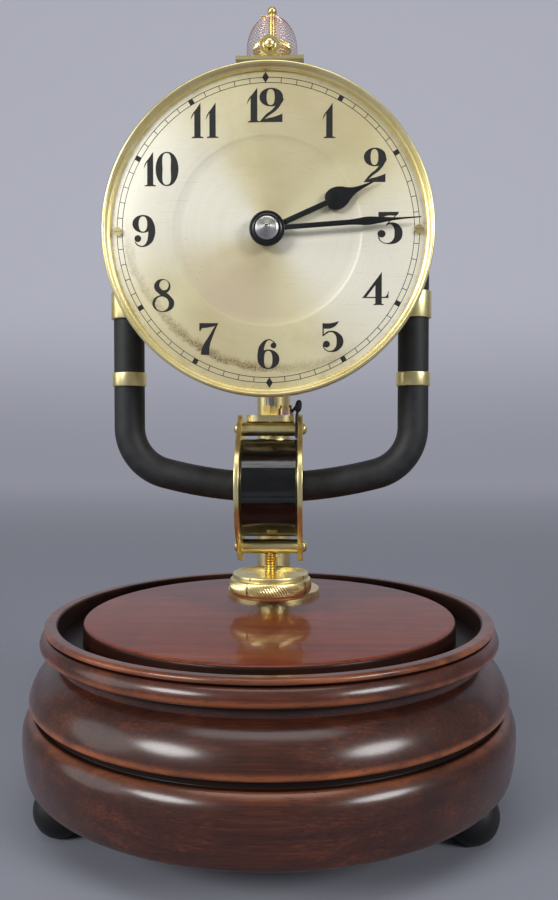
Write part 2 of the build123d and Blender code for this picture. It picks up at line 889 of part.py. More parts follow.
wire_arcs = []
for index in range(beehive_turns * steps_per_turn):
    here = index / steps_per_turn
    there = (index + 1) / steps_per_turn
    wire_arcs += biarc(
        beehive_point(here),
        wire_direction(here, direction_step),
        beehive_point(there),
        wire_direction(there, direction_step),
    )
wire_path = Wire(wire_arcs)
save(
    "copper_beehive",
    sweep(Plane(origin=wire_path @ 0, z_dir=wire_path % 0) * Circle(beehive_wire_radius), wire_path),
)
wire_samples = [beehive_point(index / samples_per_turn) for index in range(beehive_turns * samples_per_turn)]
wire_gap = min(
    (here - there).length - beehive_wire_radius * 2
    for index, here in enumerate(wire_samples)
    for there in wire_samples[index + samples_per_turn // 2 :]
)
print(f"copper beehive: least gap to itself {wire_gap:.2f} mm")

# Gears
def gear_face(teeth, module, phase):
    """Return a toothed disc with one tooth's middle at the phase bearing."""
    pitch_radius = teeth * module / 2
    rise = module * tooth_rise_share
    fall = module * tooth_fall_share
    half_width = math.pi * module * tooth_width_share / 2
    tip_radius = pitch_radius + rise
    root_radius = pitch_radius - fall
    tip_angle = math.degrees((half_width - rise * flank_slope_share) / tip_radius)
    root_angle = math.degrees((half_width + fall * flank_slope_share) / root_radius)
    points = []
    for index in range(teeth):
        middle = phase + full_turn * index / teeth
        points.append(bearing_point((0, 0), root_radius, middle - root_angle))
        points.append(bearing_point((0, 0), tip_radius, middle - tip_angle))
        points.append(bearing_point((0, 0), tip_radius, middle + tip_angle))
        points.append(bearing_point((0, 0), root_radius, middle + root_angle))
    return make_face(outline(points))


def crossed_out(teeth, module):
    """Return the openings between the spokes of a wheel."""
    pitch_radius = teeth * module / 2
    window = Circle(pitch_radius * wheel_rim_share) - Circle(pitch_radius * wheel_hub_share)
    spoke_width = pitch_radius * spoke_share * 2
    for index in range(spoke_count // 2):
        spoke = Rectangle(pitch_radius * 2, spoke_width)
        window -= Rot(0, 0, half_turn / spoke_count * 2 * index) * spoke
    return window


def gear(teeth, module, phase, place, y0, y1, spoked=False):
    """Return a gear at an (x, z) place, from y0 to y1."""
    face = gear_face(teeth, module, phase)
    if spoked:
        face -= crossed_out(teeth, module)
    return Pos(place[0], 0, place[1]) * slab_y(face, y0, y1)


def gap_phase(teeth, bearing):
    """Return the phase that puts the middle of a tooth gap at a bearing."""
    return bearing + half_turn / teeth


# Arbor places, as (x, z)
centre = (0, dial_z)
centre_distance = (centre_wheel_teeth + pinion_teeth) * train_module / 2
ratchet_distance = (intermediate_wheel_teeth + pinion_teeth) * train_module / 2
intermediate = bearing_point(centre, centre_distance, intermediate_bearing)
fork_place = (0, dial_z + fork_rise)
fork_span = math.dist(intermediate, fork_place)
fork_bearing = math.degrees(math.atan2(fork_place[1] - intermediate[1], fork_place[0] - intermediate[0]))
ratchet_square = ratchet_distance**2 + fork_span**2 - fork_to_ratchet**2
ratchet_cosine = ratchet_square / (2 * ratchet_distance * fork_span)
ratchet_bearing = fork_bearing + math.degrees(math.acos(ratchet_cosine))
ratchet = bearing_point(intermediate, ratchet_distance, ratchet_bearing)
motion_distance = (cannon_teeth + motion_wheel_teeth) * cannon_module / 2
hour_module = motion_distance * 2 / (motion_pinion_teeth + hour_wheel_teeth)
motion_place = bearing_point(centre, motion_distance, motion_bearing)

# Depth levels of the train, from the front plate backwards
level_step = gear_width + level_gap
centre_level_y = front_plate_back_y + level_gap / 2
intermediate_level_y = centre_level_y + level_step
ratchet_level_y = intermediate_level_y + level_step
cannon_back_y = front_plate_y - motion_gap
cannon_front_y = cannon_back_y - gear_width
hour_back_y = cannon_front_y - motion_gap
hour_front_y = hour_back_y - gear_width

# Plates, pillars, posts and screws
plate_height = plate_below + plate_above
plate_middle_z = dial_z + (plate_above - plate_below) / 2
plate_face = Pos(0, plate_middle_z) * RectangleRounded(plate_width, plate_height, plate_corner)
arbor_places = (intermediate, ratchet, fork_place)


def movement_plate(y0, y1):
    """Return one plate with its pivot holes and screw holes."""
    plate = slab_y(plate_face, y0, y1)
    plate -= hole_y(centre_arbor_radius + pivot_clearance, y0, y1, *centre)
    for x, z in arbor_places:
        plate -= hole_y(arbor_radius + pivot_clearance, y0, y1, x, z)
    for x, z in pillar_places:
        plate -= hole_y(screw_radius, y0, y1, x, z)
    return plate


front_plate = movement_plate(front_plate_y, front_plate_back_y)
front_plate += along_y(motion_stud_radius, hour_front_y - motion_gap, front_plate_y, *motion_place)
save("front_plate", front_plate)
save("back_plate", movement_plate(back_plate_front_y, movement_back_y))

pillars = []
plate_screws = []
for x, z in pillar_places:
    front_reach_y = front_plate_back_y + screw_reach
    pillar = along_y(pillar_radius, front_plate_back_y, back_plate_front_y, x, z)
    pillar -= along_y(screw_radius, front_plate_back_y - overrun, front_reach_y, x, z)
    stud_front_y = back_plate_front_y - screw_reach / 2
    pillar -= along_y(screw_radius, stud_front_y, back_plate_front_y, x, z)
    pillars.append(pillar)
    back_reach_y = frame_y - screw_reach
    post = along_y(pillar_radius, movement_back_y, frame_y, x, z)
    post += along_y(screw_radius, stud_front_y, movement_back_y, x, z)
    post -= along_y(screw_radius, back_reach_y, frame_y, x, z)
    pillars.append(post)
    front_screw = along_y(screw_head_radius, front_plate_y - screw_head_height, front_plate_y, x, z)
    front_screw += along_y(screw_radius, front_plate_y, front_reach_y, x, z)
    back_screw = along_y(screw_head_radius, frame_back_y, frame_back_y + screw_head_height, x, z)
    back_screw += along_y(screw_radius, back_reach_y, frame_back_y, x, z)
    plate_screws += [front_screw, back_screw]
save("movement_pillars", group(pillars))
save("frame_screws", group(plate_screws + collar_screws))

# Train: centre wheel, intermediate wheel and ratchet wheel on their arbors
arbor_front_y = front_plate_y + end_shake
arbor_back_y = movement_back_y - end_shake
centre_level_back_y = centre_level_y + gear_width
intermediate_level_back_y = intermediate_level_y + gear_width
ratchet_level_back_y = ratchet_level_y + gear_width
hand_arbor_end_y = hand_nut_y - hand_nut_height / 2
centre_wheel = gear(
    centre_wheel_teeth,
    train_module,
    intermediate_bearing,
    centre,
    centre_level_y,
    centre_level_back_y,
    spoked=True,
)
centre_wheel += along_y(centre_arbor_radius, hand_arbor_end_y, arbor_back_y, *centre)
save("centre_wheel", centre_wheel)

intermediate_wheel = gear(
    intermediate_wheel_teeth,
    train_module,
    ratchet_bearing,
    intermediate,
    intermediate_level_y,
    intermediate_level_back_y,
    spoked=True,
)
intermediate_wheel += gear(
    pinion_teeth,
    train_module,
    gap_phase(pinion_teeth, intermediate_bearing + half_turn),
    intermediate,
    centre_level_y - pinion_overhang,
    intermediate_level_y,
)
intermediate_wheel += along_y(arbor_radius, arbor_front_y, arbor_back_y, *intermediate)
save("intermediate_wheel", intermediate_wheel)

ratchet_points = []
for index in range(ratchet_teeth):
    tooth_bearing = full_turn * index / ratchet_teeth
    ratchet_points.append(bearing_point((0, 0), ratchet_radius, tooth_bearing))
    ratchet_points.append(bearing_point((0, 0), ratchet_radius - ratchet_tooth_depth, tooth_bearing))
ratchet_face = make_face(outline(ratchet_points))
ratchet_wheel = Pos(ratchet[0], 0, ratchet[1]) * slab_y(ratchet_face, ratchet_level_y, ratchet_level_back_y)
ratchet_wheel += gear(
    pinion_teeth,
    train_module,
    gap_phase(pinion_teeth, ratchet_bearing + half_turn),
    ratchet,
    intermediate_level_y - pinion_overhang,
    ratchet_level_y,
)
ratchet_wheel += along_y(arbor_radius, arbor_front_y, arbor_back_y, *ratchet)
save("ratchet_wheel", ratchet_wheel)

# Backstop click beside the ratchet wheel
click_post = bearing_point(ratchet, click_post_distance, click_post_bearing)
click_tip = bearing_point(ratchet, ratchet_radius + pawl_clearance + click_width / 2, click_tip_bearing)
click_length = math.dist(click_post, click_tip)
click_turn = math.degrees(math.atan2(click_tip[1] - click_post[1], click_tip[0] - click_post[0]))
finger = Pos(click_length / 2, 0) * Rectangle(click_length, click_width)
finger = Pos(*click_post) * Rot(0, 0, click_turn) * finger
backstop_click = slab_y(finger, ratchet_level_y, ratchet_level_back_y)
backstop_click += along_y(click_post_radius, ratchet_level_y, back_plate_front_y, *click_post)
save("backstop_click", backstop_click)

# Fork lever on its arbor: the fork behind the back plate, the pawl at the ratchet wheel
fork_front_y = movement_back_y + fork_plate_gap
fork_back_y = fork_front_y + fork_thickness
prong_inner = contact_pin_radius + fork_pin_clearance
prong_outer = prong_inner + fork_prong_width
fork_pin_z = fork_place[1] - fork_length
prong_top_z = fork_pin_z + fork_prong_length / 2
prong_low_z = fork_pin_z - fork_prong_length / 2
half_arm = fork_arm_width / 2
fork_lever = along_y(fork_hub_radius, fork_front_y, fork_back_y, *fork_place)
fork_lever += block(-half_arm, half_arm, fork_front_y, fork_back_y, prong_top_z, fork_place[1])
fork_lever += block(
    -prong_outer, prong_outer, fork_front_y, fork_back_y, prong_low_z, prong_top_z + fork_prong_width
)
fork_lever -= block(
    -prong_inner,
    prong_inner,
    fork_front_y - overrun,
    fork_back_y + overrun,
    prong_low_z - overrun,
    prong_top_z,
)
pawl_length = fork_to_ratchet - ratchet_radius - pawl_clearance
pawl_turn = math.degrees(math.atan2(ratchet[1] - fork_place[1], ratchet[0] - fork_place[0]))
pawl_points = [
    (0, -pawl_root_width / 2),
    (pawl_length, -pawl_tip_width / 2),
    (pawl_length, pawl_tip_width / 2),
    (0, pawl_root_width / 2),
]
pawl = Pos(*fork_place) * Rot(0, 0, pawl_turn) * make_face(outline(pawl_points))
fork_lever += slab_y(pawl, ratchet_level_y, ratchet_level_back_y)
fork_lever += along_y(fork_hub_radius, ratchet_level_y, ratchet_level_back_y, *fork_place)
fork_lever += along_y(arbor_radius, arbor_front_y, fork_back_y, *fork_place)
save("fork_lever", fork_lever)

# Motion work: cannon pinion, motion wheel and hour wheel
cannon_pinion = gear(
    cannon_teeth,
    cannon_module,
    gap_phase(cannon_teeth, motion_bearing),
    centre,
    cannon_front_y,
    cannon_back_y,
)
cannon_pinion += along_y(cannon_pipe_radius, collet_y, cannon_back_y, *centre)
cannon_pinion -= hole_y(centre_arbor_radius, collet_y, cannon_back_y, *centre)
save("cannon_pinion", cannon_pinion)

motion_wheel = gear(
    motion_wheel_teeth,
    cannon_module,
    motion_bearing + half_turn,
    motion_place,
    cannon_front_y,
    cannon_back_y,
)
motion_wheel += gear(
    motion_pinion_teeth,
    hour_module,
    gap_phase(motion_pinion_teeth, motion_bearing + half_turn),
    motion_place,
    hour_front_y,
    cannon_front_y,
)
motion_wheel -= hole_y(
    motion_stud_radius + pivot_clearance, hour_front_y, cannon_back_y, *motion_place
)
save("motion_wheel", motion_wheel)

hour_pipe_end_y = hour_hand_y - hand_thickness
hour_wheel = gear(hour_wheel_teeth, hour_module, motion_bearing, centre, hour_front_y, hour_back_y)
hour_wheel += along_y(hour_pipe_radius, hour_pipe_end_y, hour_back_y, *centre)
hour_wheel -= hole_y(hour_pipe_bore, hour_pipe_end_y, hour_back_y, *centre)
save("hour_wheel", hour_wheel)

# Dial with its feet
dial_screw_places = [(side * dial_screw_circle, dial_z) for side in (-1, 1)]
dial_foot_places = [(0, dial_z - plate_below + plate_corner / 2)]
dial_foot_reach = plate_width * dial_foot_share
dial_foot_places += [(side * dial_foot_reach, dial_z + dial_foot_reach) for side in (-1, 1)]
dial = along_y(dial_radius, dial_y, dial_back_y, *centre)
dial -= along_y(dial_dish_radius, dial_y - overrun, dial_y + dial_dish_depth, *centre)
dial -= hole_y(dial_hole_radius, dial_y, dial_back_y, *centre)
for x, z in dial_screw_places:
    dial -= hole_y(dial_screw_radius, dial_y, dial_back_y, x, z)
for x, z in dial_foot_places:
    dial += along_y(dial_foot_radius, dial_back_y, front_plate_y, x, z)
save("dial", dial)

# Bezel, with two lugs behind the dial, and the dial screws
bezel_inner = dial_radius + fit_clearance
bezel_lip_y = dial_y - fit_clearance
bezel_crest_y = dial_y - bezel_crest
bezel_back_y = dial_back_y + bezel_back
bezel_shelf = bezel_lip_radius + bezel_lip_width
bezel_shelf_y = bezel_lip_y - bezel_lip_height
bezel_edge_radius = (bezel_radius - bezel_shelf) / 2
bezel_outline = [
    Polyline(
        (bezel_shelf, bezel_shelf_y),
        (bezel_lip_radius, bezel_lip_y - bezel_lip_height / 2),
        (bezel_lip_radius, bezel_lip_y),
        (bezel_inner, bezel_lip_y),
        (bezel_inner, bezel_back_y),
        (bezel_radius, bezel_back_y),
        (bezel_radius, bezel_crest_y + bezel_edge_radius),
    ),
    ThreePointArc(
        (bezel_radius, bezel_crest_y + bezel_edge_radius),
        (bezel_shelf + bezel_edge_radius, bezel_crest_y),
        (bezel_shelf, bezel_crest_y + bezel_edge_radius),
    ),
    Line((bezel_shelf, bezel_crest_y + bezel_edge_radius), (bezel_shelf, bezel_shelf_y)),
]
bezel = Pos(0, 0, dial_z) * turned_y(bezel_outline)
lug_back_y = dial_back_y + bezel_lug_thickness
half_lug = bezel_lug_width / 2
dial_screws = []
for side, place in zip((-1, 1), dial_screw_places):
    lug_edges = sorted((side * (bezel_radius - bezel_lug_length - bezel_edge_radius), side * bezel_inner))
    lug = block(*lug_edges, dial_back_y, lug_back_y, dial_z - half_lug, dial_z + half_lug)
    bezel += lug & along_y(bezel_radius, dial_back_y, lug_back_y, *centre)
    bezel -= hole_y(dial_screw_radius, dial_back_y, lug_back_y, *place)
    head_front_y = dial_y - dial_screw_head_height
    dial_screw = along_y(dial_screw_head_radius, head_front_y, dial_y, *place)
    dial_screw += along_y(dial_screw_radius, dial_y, lug_back_y, *place)
    dial_screw -= block(
        place[0] - dial_screw_head_radius,
        place[0] + dial_screw_head_radius,
        head_front_y - overrun,
        head_front_y + dial_screw_slot,
        dial_z - dial_screw_slot / 2,
        dial_z + dial_screw_slot / 2,
    )
    dial_screws.append(dial_screw)
save("bezel", bezel)
save("dial_screws", group(dial_screws))


def hand(face, bearing, y0, boss_radius, bore):
    """Return a hand drawn along +Z, turned clockwise to its rest bearing."""
    blank = slab_y(face, y0 - hand_thickness, y0)
    blank += along_y(boss_radius, y0 - hand_thickness, y0, 0, 0)
    blank -= along_y(bore, y0 - hand_thickness - overrun, y0 + overrun, 0, 0)
    return Pos(0, 0, dial_z) * Rot(0, bearing, 0) * blank


# Hour hand: a stem, a pear-shaped bulb and a point
bulb_start = hour_hand_length * hour_bulb_start_share
bulb_peak = hour_hand_length * hour_bulb_peak_share
bulb_end = hour_hand_length * hour_bulb_end_share
half_stem = hour_hand_stem / 2
half_bulb = hour_bulb_width / 2
half_tip = hand_tip_width / 2
bulb_neck = half_stem * hour_neck_share
bulb_waist = ((bulb_peak + bulb_end) / 2, half_bulb * hour_waist_share)
bulb_flank = ((bulb_start + bulb_peak) / 2, half_bulb * hour_flank_share)
hour_edges = []
for side in (-1, 1):
    hour_edges += [
        Line((side * half_stem, 0), (side * half_stem, bulb_start)),
        ThreePointArc(
            (side * half_stem, bulb_start),
            (side * bulb_flank[1], bulb_flank[0]),
            (side * half_bulb, bulb_peak),
        ),
        ThreePointArc(
            (side * half_bulb, bulb_peak),
            (side * bulb_waist[1], bulb_waist[0]),
            (side * bulb_neck, bulb_end),
        ),
        Line((side * bulb_neck, bulb_end), (side * half_tip, hour_hand_length)),
    ]
hour_edges += [
    Line((-half_stem, 0), (half_stem, 0)),
    Line((-half_tip, hour_hand_length), (half_tip, hour_hand_length)),
]
hour_face = make_face(hour_edges)
save("hour_hand", hand(hour_face, hour_rest_bearing, hour_hand_y, hour_boss_radius, hour_pipe_radius))

# Minute hand: a stem with a slim swelling and a needle point
half_minute = minute_hand_width / 2
half_swell = minute_swell_width / 2
swell_z = minute_hand_length * minute_swell_share
needle_z = minute_hand_length * minute_needle_share
stem_z = minute_hand_length * minute_stem_share
half_needle = half_minute * minute_needle_width_share
minute_points = [
    (-half_minute, 0),
    (-half_minute, stem_z),
    (-half_swell, swell_z),
    (-half_needle, needle_z),
    (-half_tip, minute_hand_length),
    (half_tip, minute_hand_length),
    (half_needle, needle_z),
    (half_swell, swell_z),
    (half_minute, stem_z),
    (half_minute, 0),
]
minute_face = make_face(outline(minute_points))
save(
    "minute_hand",
    hand(minute_face, minute_rest_bearing, minute_hand_y, minute_boss_radius, cannon_pipe_radius),
)

hand_collet = along_y(collet_radius, hand_nut_y, collet_y, *centre)
hand_collet -= hole_y(centre_arbor_radius, hand_nut_y, collet_y, *centre)
save("hand_collet", hand_collet)

hand_nut_top_y = hand_nut_y - hand_nut_height
dome_rise = hand_nut_height - hand_nut_rim
dome_radius = (hand_nut_radius**2 + dome_rise**2) / (2 * dome_rise)
dome_middle_angle = math.asin(hand_nut_radius / dome_radius) / 2
dome_middle = (
    dome_radius * math.sin(dome_middle_angle),
    hand_nut_top_y + dome_radius * (1 - math.cos(dome_middle_angle)),
)
dome_edge = (hand_nut_radius, hand_nut_y - hand_nut_rim)
hand_nut_edges = [
    Polyline((0, hand_nut_top_y), (0, hand_nut_y), (hand_nut_radius, hand_nut_y), dome_edge),
    ThreePointArc(dome_edge, dome_middle, (0, hand_nut_top_y)),
]
hand_nut = Pos(0, 0, dial_z) * turned_y(hand_nut_edges)
hand_nut -= along_y(centre_arbor_radius, hand_arbor_end_y, hand_nut_y + overrun, *centre)
save("hand_nut", hand_nut)

# Pendulum: suspension strip and rod
strip_low_z = pivot_z - strip_free_length - rod_head_length / 2
rod_top_z = pivot_z - strip_free_length
bracket_z = coil_z + cross_pillar_rise + cross_pillar_radius
bracket_top_z = bracket_z + bracket_thickness
half_strip = strip_thickness / 2
strip_front_y = pendulum_y - strip_width / 2
strip_back_y = pendulum_y + strip_width / 2
strip = block(-half_strip, half_strip, strip_front_y, strip_back_y, strip_low_z, pivot_z - strip_gap)
save("suspension_spring", strip)

rod = along_z(rod_radius, bracket_top_z, rod_top_z, y=pendulum_y)
rod += along_z(rod_head_radius, rod_top_z - rod_head_length, rod_top_z, y=pendulum_y)
rod += along_z(rod_spigot_radius, coil_z + cross_pillar_rise, bracket_top_z, y=pendulum_y)
rod -= block(-half_strip, half_strip, strip_front_y, strip_back_y, strip_low_z, rod_top_z + overrun)
rod += along_y(contact_pin_radius, movement_back_y + contact_pin_clearance, pendulum_y, 0, fork_pin_z)
save("pendulum_rod", rod)

# Coil: cheeks, cross pillars, screws, bobbin tube and winding
pillar_heights = (coil_z + cross_pillar_rise, coil_z - cross_pillar_fall)
cheek_inner_x = wrap_half_length
cheek_outer_x = wrap_half_length + cheek_thickness


def cheek(x0, x1):
    """Return a cheek drawn tight round its disc and its two rounded ends."""
    end_radius = cheek_tab_width / 2
    top_end = cross_pillar_rise + cheek_tab_overhang - end_radius
    low_end = cross_pillar_fall + cheek_tab_overhang - end_radius
    rounds = [Circle(cheek_radius), Pos(0, top_end) * Circle(end_radius), Pos(0, -low_end) * Circle(end_radius)]
    face = make_hull([edge for part in rounds for edge in part.edges()])
    side = Plane(origin=(x0, pendulum_y, coil_z), x_dir=(0, 1, 0), z_dir=(1, 0, 0))
    plate = extrude(side * face, x1 - x0)
    plate -= hole_x(bobbin_bore_radius, x0, x1, pendulum_y, coil_z)
    for z in pillar_heights:
        plate -= hole_x(cheek_screw_radius, x0, x1, pendulum_y, z)
    return plate


save("coil_cheeks", group([cheek(-cheek_outer_x, -cheek_inner_x), cheek(cheek_inner_x, cheek_outer_x)]))

cross_pillars = []
cheek_screws = []
for z in pillar_heights:
    pillar = along_x(cross_pillar_radius, -cheek_inner_x, cheek_inner_x, pendulum_y, z)
    for side in (-1, 1):
        reach = sorted((side * (cheek_inner_x - cheek_screw_reach), side * cheek_outer_x))
        head = sorted((side * cheek_outer_x, side * (cheek_outer_x + cheek_screw_head_height)))
        pillar -= along_x(cheek_screw_radius, *reach, pendulum_y, z)
        cheek_screw = along_x(cheek_screw_radius, *reach, pendulum_y, z)
        cheek_screw += along_x(cheek_screw_head_radius, *head, pendulum_y, z)
        cheek_screws.append(cheek_screw)
    cross_pillars.append(pillar)
thread_seat_z = pillar_heights[1]
cross_pillars[0] -= along_z(rod_spigot_radius, pillar_heights[0], bracket_z + overrun, y=pendulum_y)
pillar_low_z = thread_seat_z - cross_pillar_radius
cross_pillars[1] -= along_z(rod_spigot_radius, pillar_low_z - overrun, thread_seat_z, y=pendulum_y)
save("cross_pillars", group(cross_pillars))
save("cheek_screws", group(cheek_screws))

tube_radius = bobbin_bore_radius + bobbin_wall
bobbin_tube = along_x(tube_radius, -cheek_inner_x, cheek_inner_x, pendulum_y, coil_z)
bobbin_tube -= along_x(bobbin_bore_radius, -cheek_outer_x, cheek_outer_x, pendulum_y, coil_z)
save("bobbin_tube", bobbin_tube)
coil_winding = along_x(wrap_radius, -cheek_inner_x, cheek_inner_x, pendulum_y, coil_z)
coil_winding -= along_x(tube_radius + winding_clearance, -cheek_outer_x, cheek_outer_x, pendulum_y, coil_z)
save("coil_winding", coil_winding)

# Bracket over the coil, with the rod's nut, the terminal and the coil lead
bracket_face = Pos(0, pendulum_y) * SlotOverall(bracket_width, bracket_depth)
coil_bracket = Pos(0, 0, bracket_z) * extrude(bracket_face, bracket_thickness)
coil_bracket -= hole_z(rod_spigot_radius, bracket_z, bracket_top_z, y=pendulum_y)
coil_bracket -= hole_z(terminal_screw_radius, bracket_z, bracket_top_z, terminal_x, pendulum_y)
save("coil_bracket", coil_bracket)

rod_nut = extrude(Rot(0, 0, nut_turn) * hex_face(rod_nut_across), rod_nut_height)
rod_nut = Pos(0, pendulum_y, bracket_top_z) * rod_nut
rod_nut -= hole_z(rod_radius, bracket_top_z, bracket_top_z + rod_nut_height, y=pendulum_y)
save("rod_nut", rod_nut)

washers_top_z = bracket_top_z + terminal_washer_thickness * terminal_washer_count
washers = []
for index in range(terminal_washer_count):
    washer_z = bracket_top_z + terminal_washer_thickness * index
    washer_top_z = washer_z + terminal_washer_thickness
    washer = along_z(terminal_washer_radius, washer_z, washer_top_z, terminal_x, pendulum_y)
    washer -= hole_z(terminal_screw_radius, washer_z, washer_top_z, terminal_x, pendulum_y)
    washers.append(washer)
save("terminal_washers", group(washers))
terminal_top_z = washers_top_z + terminal_head_height
terminal_screw = along_z(terminal_head_radius, washers_top_z, terminal_top_z, terminal_x, pendulum_y)
terminal_screw += along_z(terminal_screw_radius, bracket_z, washers_top_z, terminal_x, pendulum_y)
save("terminal_screw", terminal_screw)

# The coil lead leaves the washers, turns over above the cheek and drops to the winding in front of the pillar
lead_y = pendulum_y - coil_lead_front
lead_fall_y = pendulum_y - cross_pillar_radius - coil_lead_radius - coil_lead_gap
lead_end_z = coil_z + math.sqrt(wrap_radius**2 - (pendulum_y - lead_fall_y) ** 2) + coil_lead_gap
lead_fall_x = cheek_inner_x - coil_lead_radius - coil_lead_gap
lead_top_z = terminal_top_z + coil_lead_rise
coil_lead_path = FilletPolyline(
    (terminal_x + coil_lead_start, lead_y, (bracket_top_z + washers_top_z) / 2),
    (lead_fall_x + coil_lead_lean, lead_fall_y, lead_top_z),
    (lead_fall_x, lead_fall_y, bracket_top_z + coil_lead_gap),
    (lead_fall_x, lead_fall_y, lead_end_z),
    radius=[coil_lead_bend_radius, coil_lead_ease_radius],
)
coil_lead = sweep(
    Plane(origin=coil_lead_path @ 0, z_dir=coil_lead_path % 0) * Circle(coil_lead_radius), coil_lead_path
)
save("coil_lead", coil_lead)

# Threaded rod and rating nut
nut_low_z = panel_z + rating_nut_height_over_panel
nut_high_z = nut_low_z + rating_nut_height
thread_high_z = pillar_low_z
thread_turns = int((thread_high_z - nut_low_z) / thread_pitch)
thread_points = [(0, thread_high_z), (thread_radius, thread_high_z)]
for index in range(thread_turns):
    crest_z = thread_high_z - thread_pitch * index
    thread_points.append((thread_radius, crest_z - thread_pitch * thread_crest_share))
    thread_points.append((thread_radius - thread_depth, crest_z - thread_pitch * thread_root_share))
    thread_points.append((thread_radius, crest_z - thread_pitch))
thread_points.append((0, thread_high_z - thread_pitch * thread_turns))
threaded_rod = Pos(0, pendulum_y, 0) * turned_z(outline(thread_points))
threaded_rod += along_z(rod_spigot_radius, thread_high_z, thread_seat_z, y=pendulum_y)
save("threaded_rod", threaded_rod)

rating_nut_points = [
    (thread_radius + thread_clearance, nut_low_z),
    (rating_nut_bottom_radius, nut_low_z),
    (rating_nut_radius, nut_low_z + rating_nut_bottom_chamfer),
    (rating_nut_radius, nut_high_z - rating_nut_top_chamfer),
    (rating_nut_top_radius, nut_high_z),
    (thread_radius + thread_clearance, nut_high_z),
]
save("rating_nut", Pos(0, pendulum_y, 0) * turned_z(outline(rating_nut_points)))
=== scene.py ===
"""Looks of a battery pendulum clock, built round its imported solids.

A silvered dial and its bezel stand in front of a small movement, a bent black bar runs behind them, and a
wrapped coil hangs round the bar over a turned mahogany base. Pieces are modelled in millimetres, with +Z up
and the dial facing -Y, and are scaled to metres when they are finished.
"""
import json
import logging
import math
from dataclasses import dataclass, field
from enum import Enum
from typing import Dict, Iterable, List, Mapping, NamedTuple, Optional, Sequence, Tuple, Union

import bmesh
import bpy
from mathutils import Matrix, Vector, noise


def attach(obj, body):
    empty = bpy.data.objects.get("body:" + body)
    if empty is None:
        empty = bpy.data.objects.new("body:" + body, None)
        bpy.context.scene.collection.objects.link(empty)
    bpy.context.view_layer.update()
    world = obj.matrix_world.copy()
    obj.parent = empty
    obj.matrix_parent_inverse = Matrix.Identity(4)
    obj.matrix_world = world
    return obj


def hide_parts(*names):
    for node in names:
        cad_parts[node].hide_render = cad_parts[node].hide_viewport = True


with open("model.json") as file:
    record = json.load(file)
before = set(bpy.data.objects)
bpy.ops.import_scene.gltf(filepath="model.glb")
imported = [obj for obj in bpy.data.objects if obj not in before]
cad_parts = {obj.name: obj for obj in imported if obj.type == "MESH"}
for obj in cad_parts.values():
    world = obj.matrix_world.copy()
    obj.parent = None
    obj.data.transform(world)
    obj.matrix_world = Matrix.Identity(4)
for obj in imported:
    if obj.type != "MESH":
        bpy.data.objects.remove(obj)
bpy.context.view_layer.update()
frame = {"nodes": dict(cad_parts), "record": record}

MM = 0.001
IN_MM = (1000.0, 1000.0, 1000.0)
WELD = 0.0004
FULL_TURN = math.tau
DIAL_CENTRE = (0.0, 0.0, 202.1)
BAR_Y = 5.2
log = logging.getLogger("clock")

Colour = Tuple[float, float, float]
Point = Tuple[float, float]
Place = Tuple[float, float, float]


def tint(red: int, green: int, blue: int) -> Colour:
    """Turn a screen colour into a linear one.

    Args:
        red: Red from 0 to 255.
        green: Green from 0 to 255.
        blue: Blue from 0 to 255.

    Returns:
        The linear colour.
    """
    shares = (part / 255 for part in (red, green, blue))
    return tuple(share / 12.92 if share <= 0.04045 else ((share + 0.055) / 1.055) ** 2.4 for share in shares)


def link(name: str, data: bpy.types.ID) -> bpy.types.Object:
    """Put data into the scene.

    Args:
        name: The object's name.
        data: Its mesh, curve, light or camera.

    Returns:
        The object, at the origin.
    """
    made = bpy.data.objects.new(name, data)
    bpy.context.scene.collection.objects.link(made)
    return made


def verts_of(parts: Iterable) -> List[bmesh.types.BMVert]:
    """Return the vertices among an operator's parts."""
    return [part for part in parts if isinstance(part, bmesh.types.BMVert)]


def valley(angle: float, ridges: int) -> float:
    """Return how deep a knurl is at an angle: 0 on a ridge and 1 between two."""
    return abs(2 * (angle * ridges / FULL_TURN % 1.0) - 1)


class Value:
    """A node's output, which Python's operators turn into Math nodes."""

    def __init__(self, recipe: "Recipe", socket: bpy.types.NodeSocket) -> None:
        """Keep the socket and the recipe that it belongs to."""
        self.recipe = recipe
        self.socket = socket

    def _math(self, operation: str, *terms: "Input") -> "Value":
        """Return a Math node of the terms."""
        return self.recipe.node("ShaderNodeMath", {"operation": operation}, dict(enumerate(terms)))

    def __add__(self, other: "Input") -> "Value":
        """Return self + other."""
        return self._math("ADD", self, other)

    def __radd__(self, other: "Input") -> "Value":
        """Return other + self."""
        return self._math("ADD", other, self)

    def __sub__(self, other: "Input") -> "Value":
        """Return self - other."""
        return self._math("SUBTRACT", self, other)

    def __rsub__(self, other: "Input") -> "Value":
        """Return other - self."""
        return self._math("SUBTRACT", other, self)

    def __mul__(self, other: "Input") -> "Value":
        """Return self * other."""
        return self._math("MULTIPLY", self, other)

    def __rmul__(self, other: "Input") -> "Value":
        """Return other * self."""
        return self._math("MULTIPLY", other, self)

    def step(self, low: float, high: float) -> "Value":
        """Rise smoothly from 0 at low to 1 at high.

        Args:
            low: Where the rise starts.
            high: Where it ends. It may be under low, and the value then falls.

        Returns:
            The smoothed value.
        """
        ends = {0: self, 1: min(low, high), 2: max(low, high), 3: float(low > high), 4: float(low <= high)}
        return self.recipe.node("ShaderNodeMapRange", {"interpolation_type": "SMOOTHSTEP"}, ends)


Input = Union[Value, float, Sequence[float]]


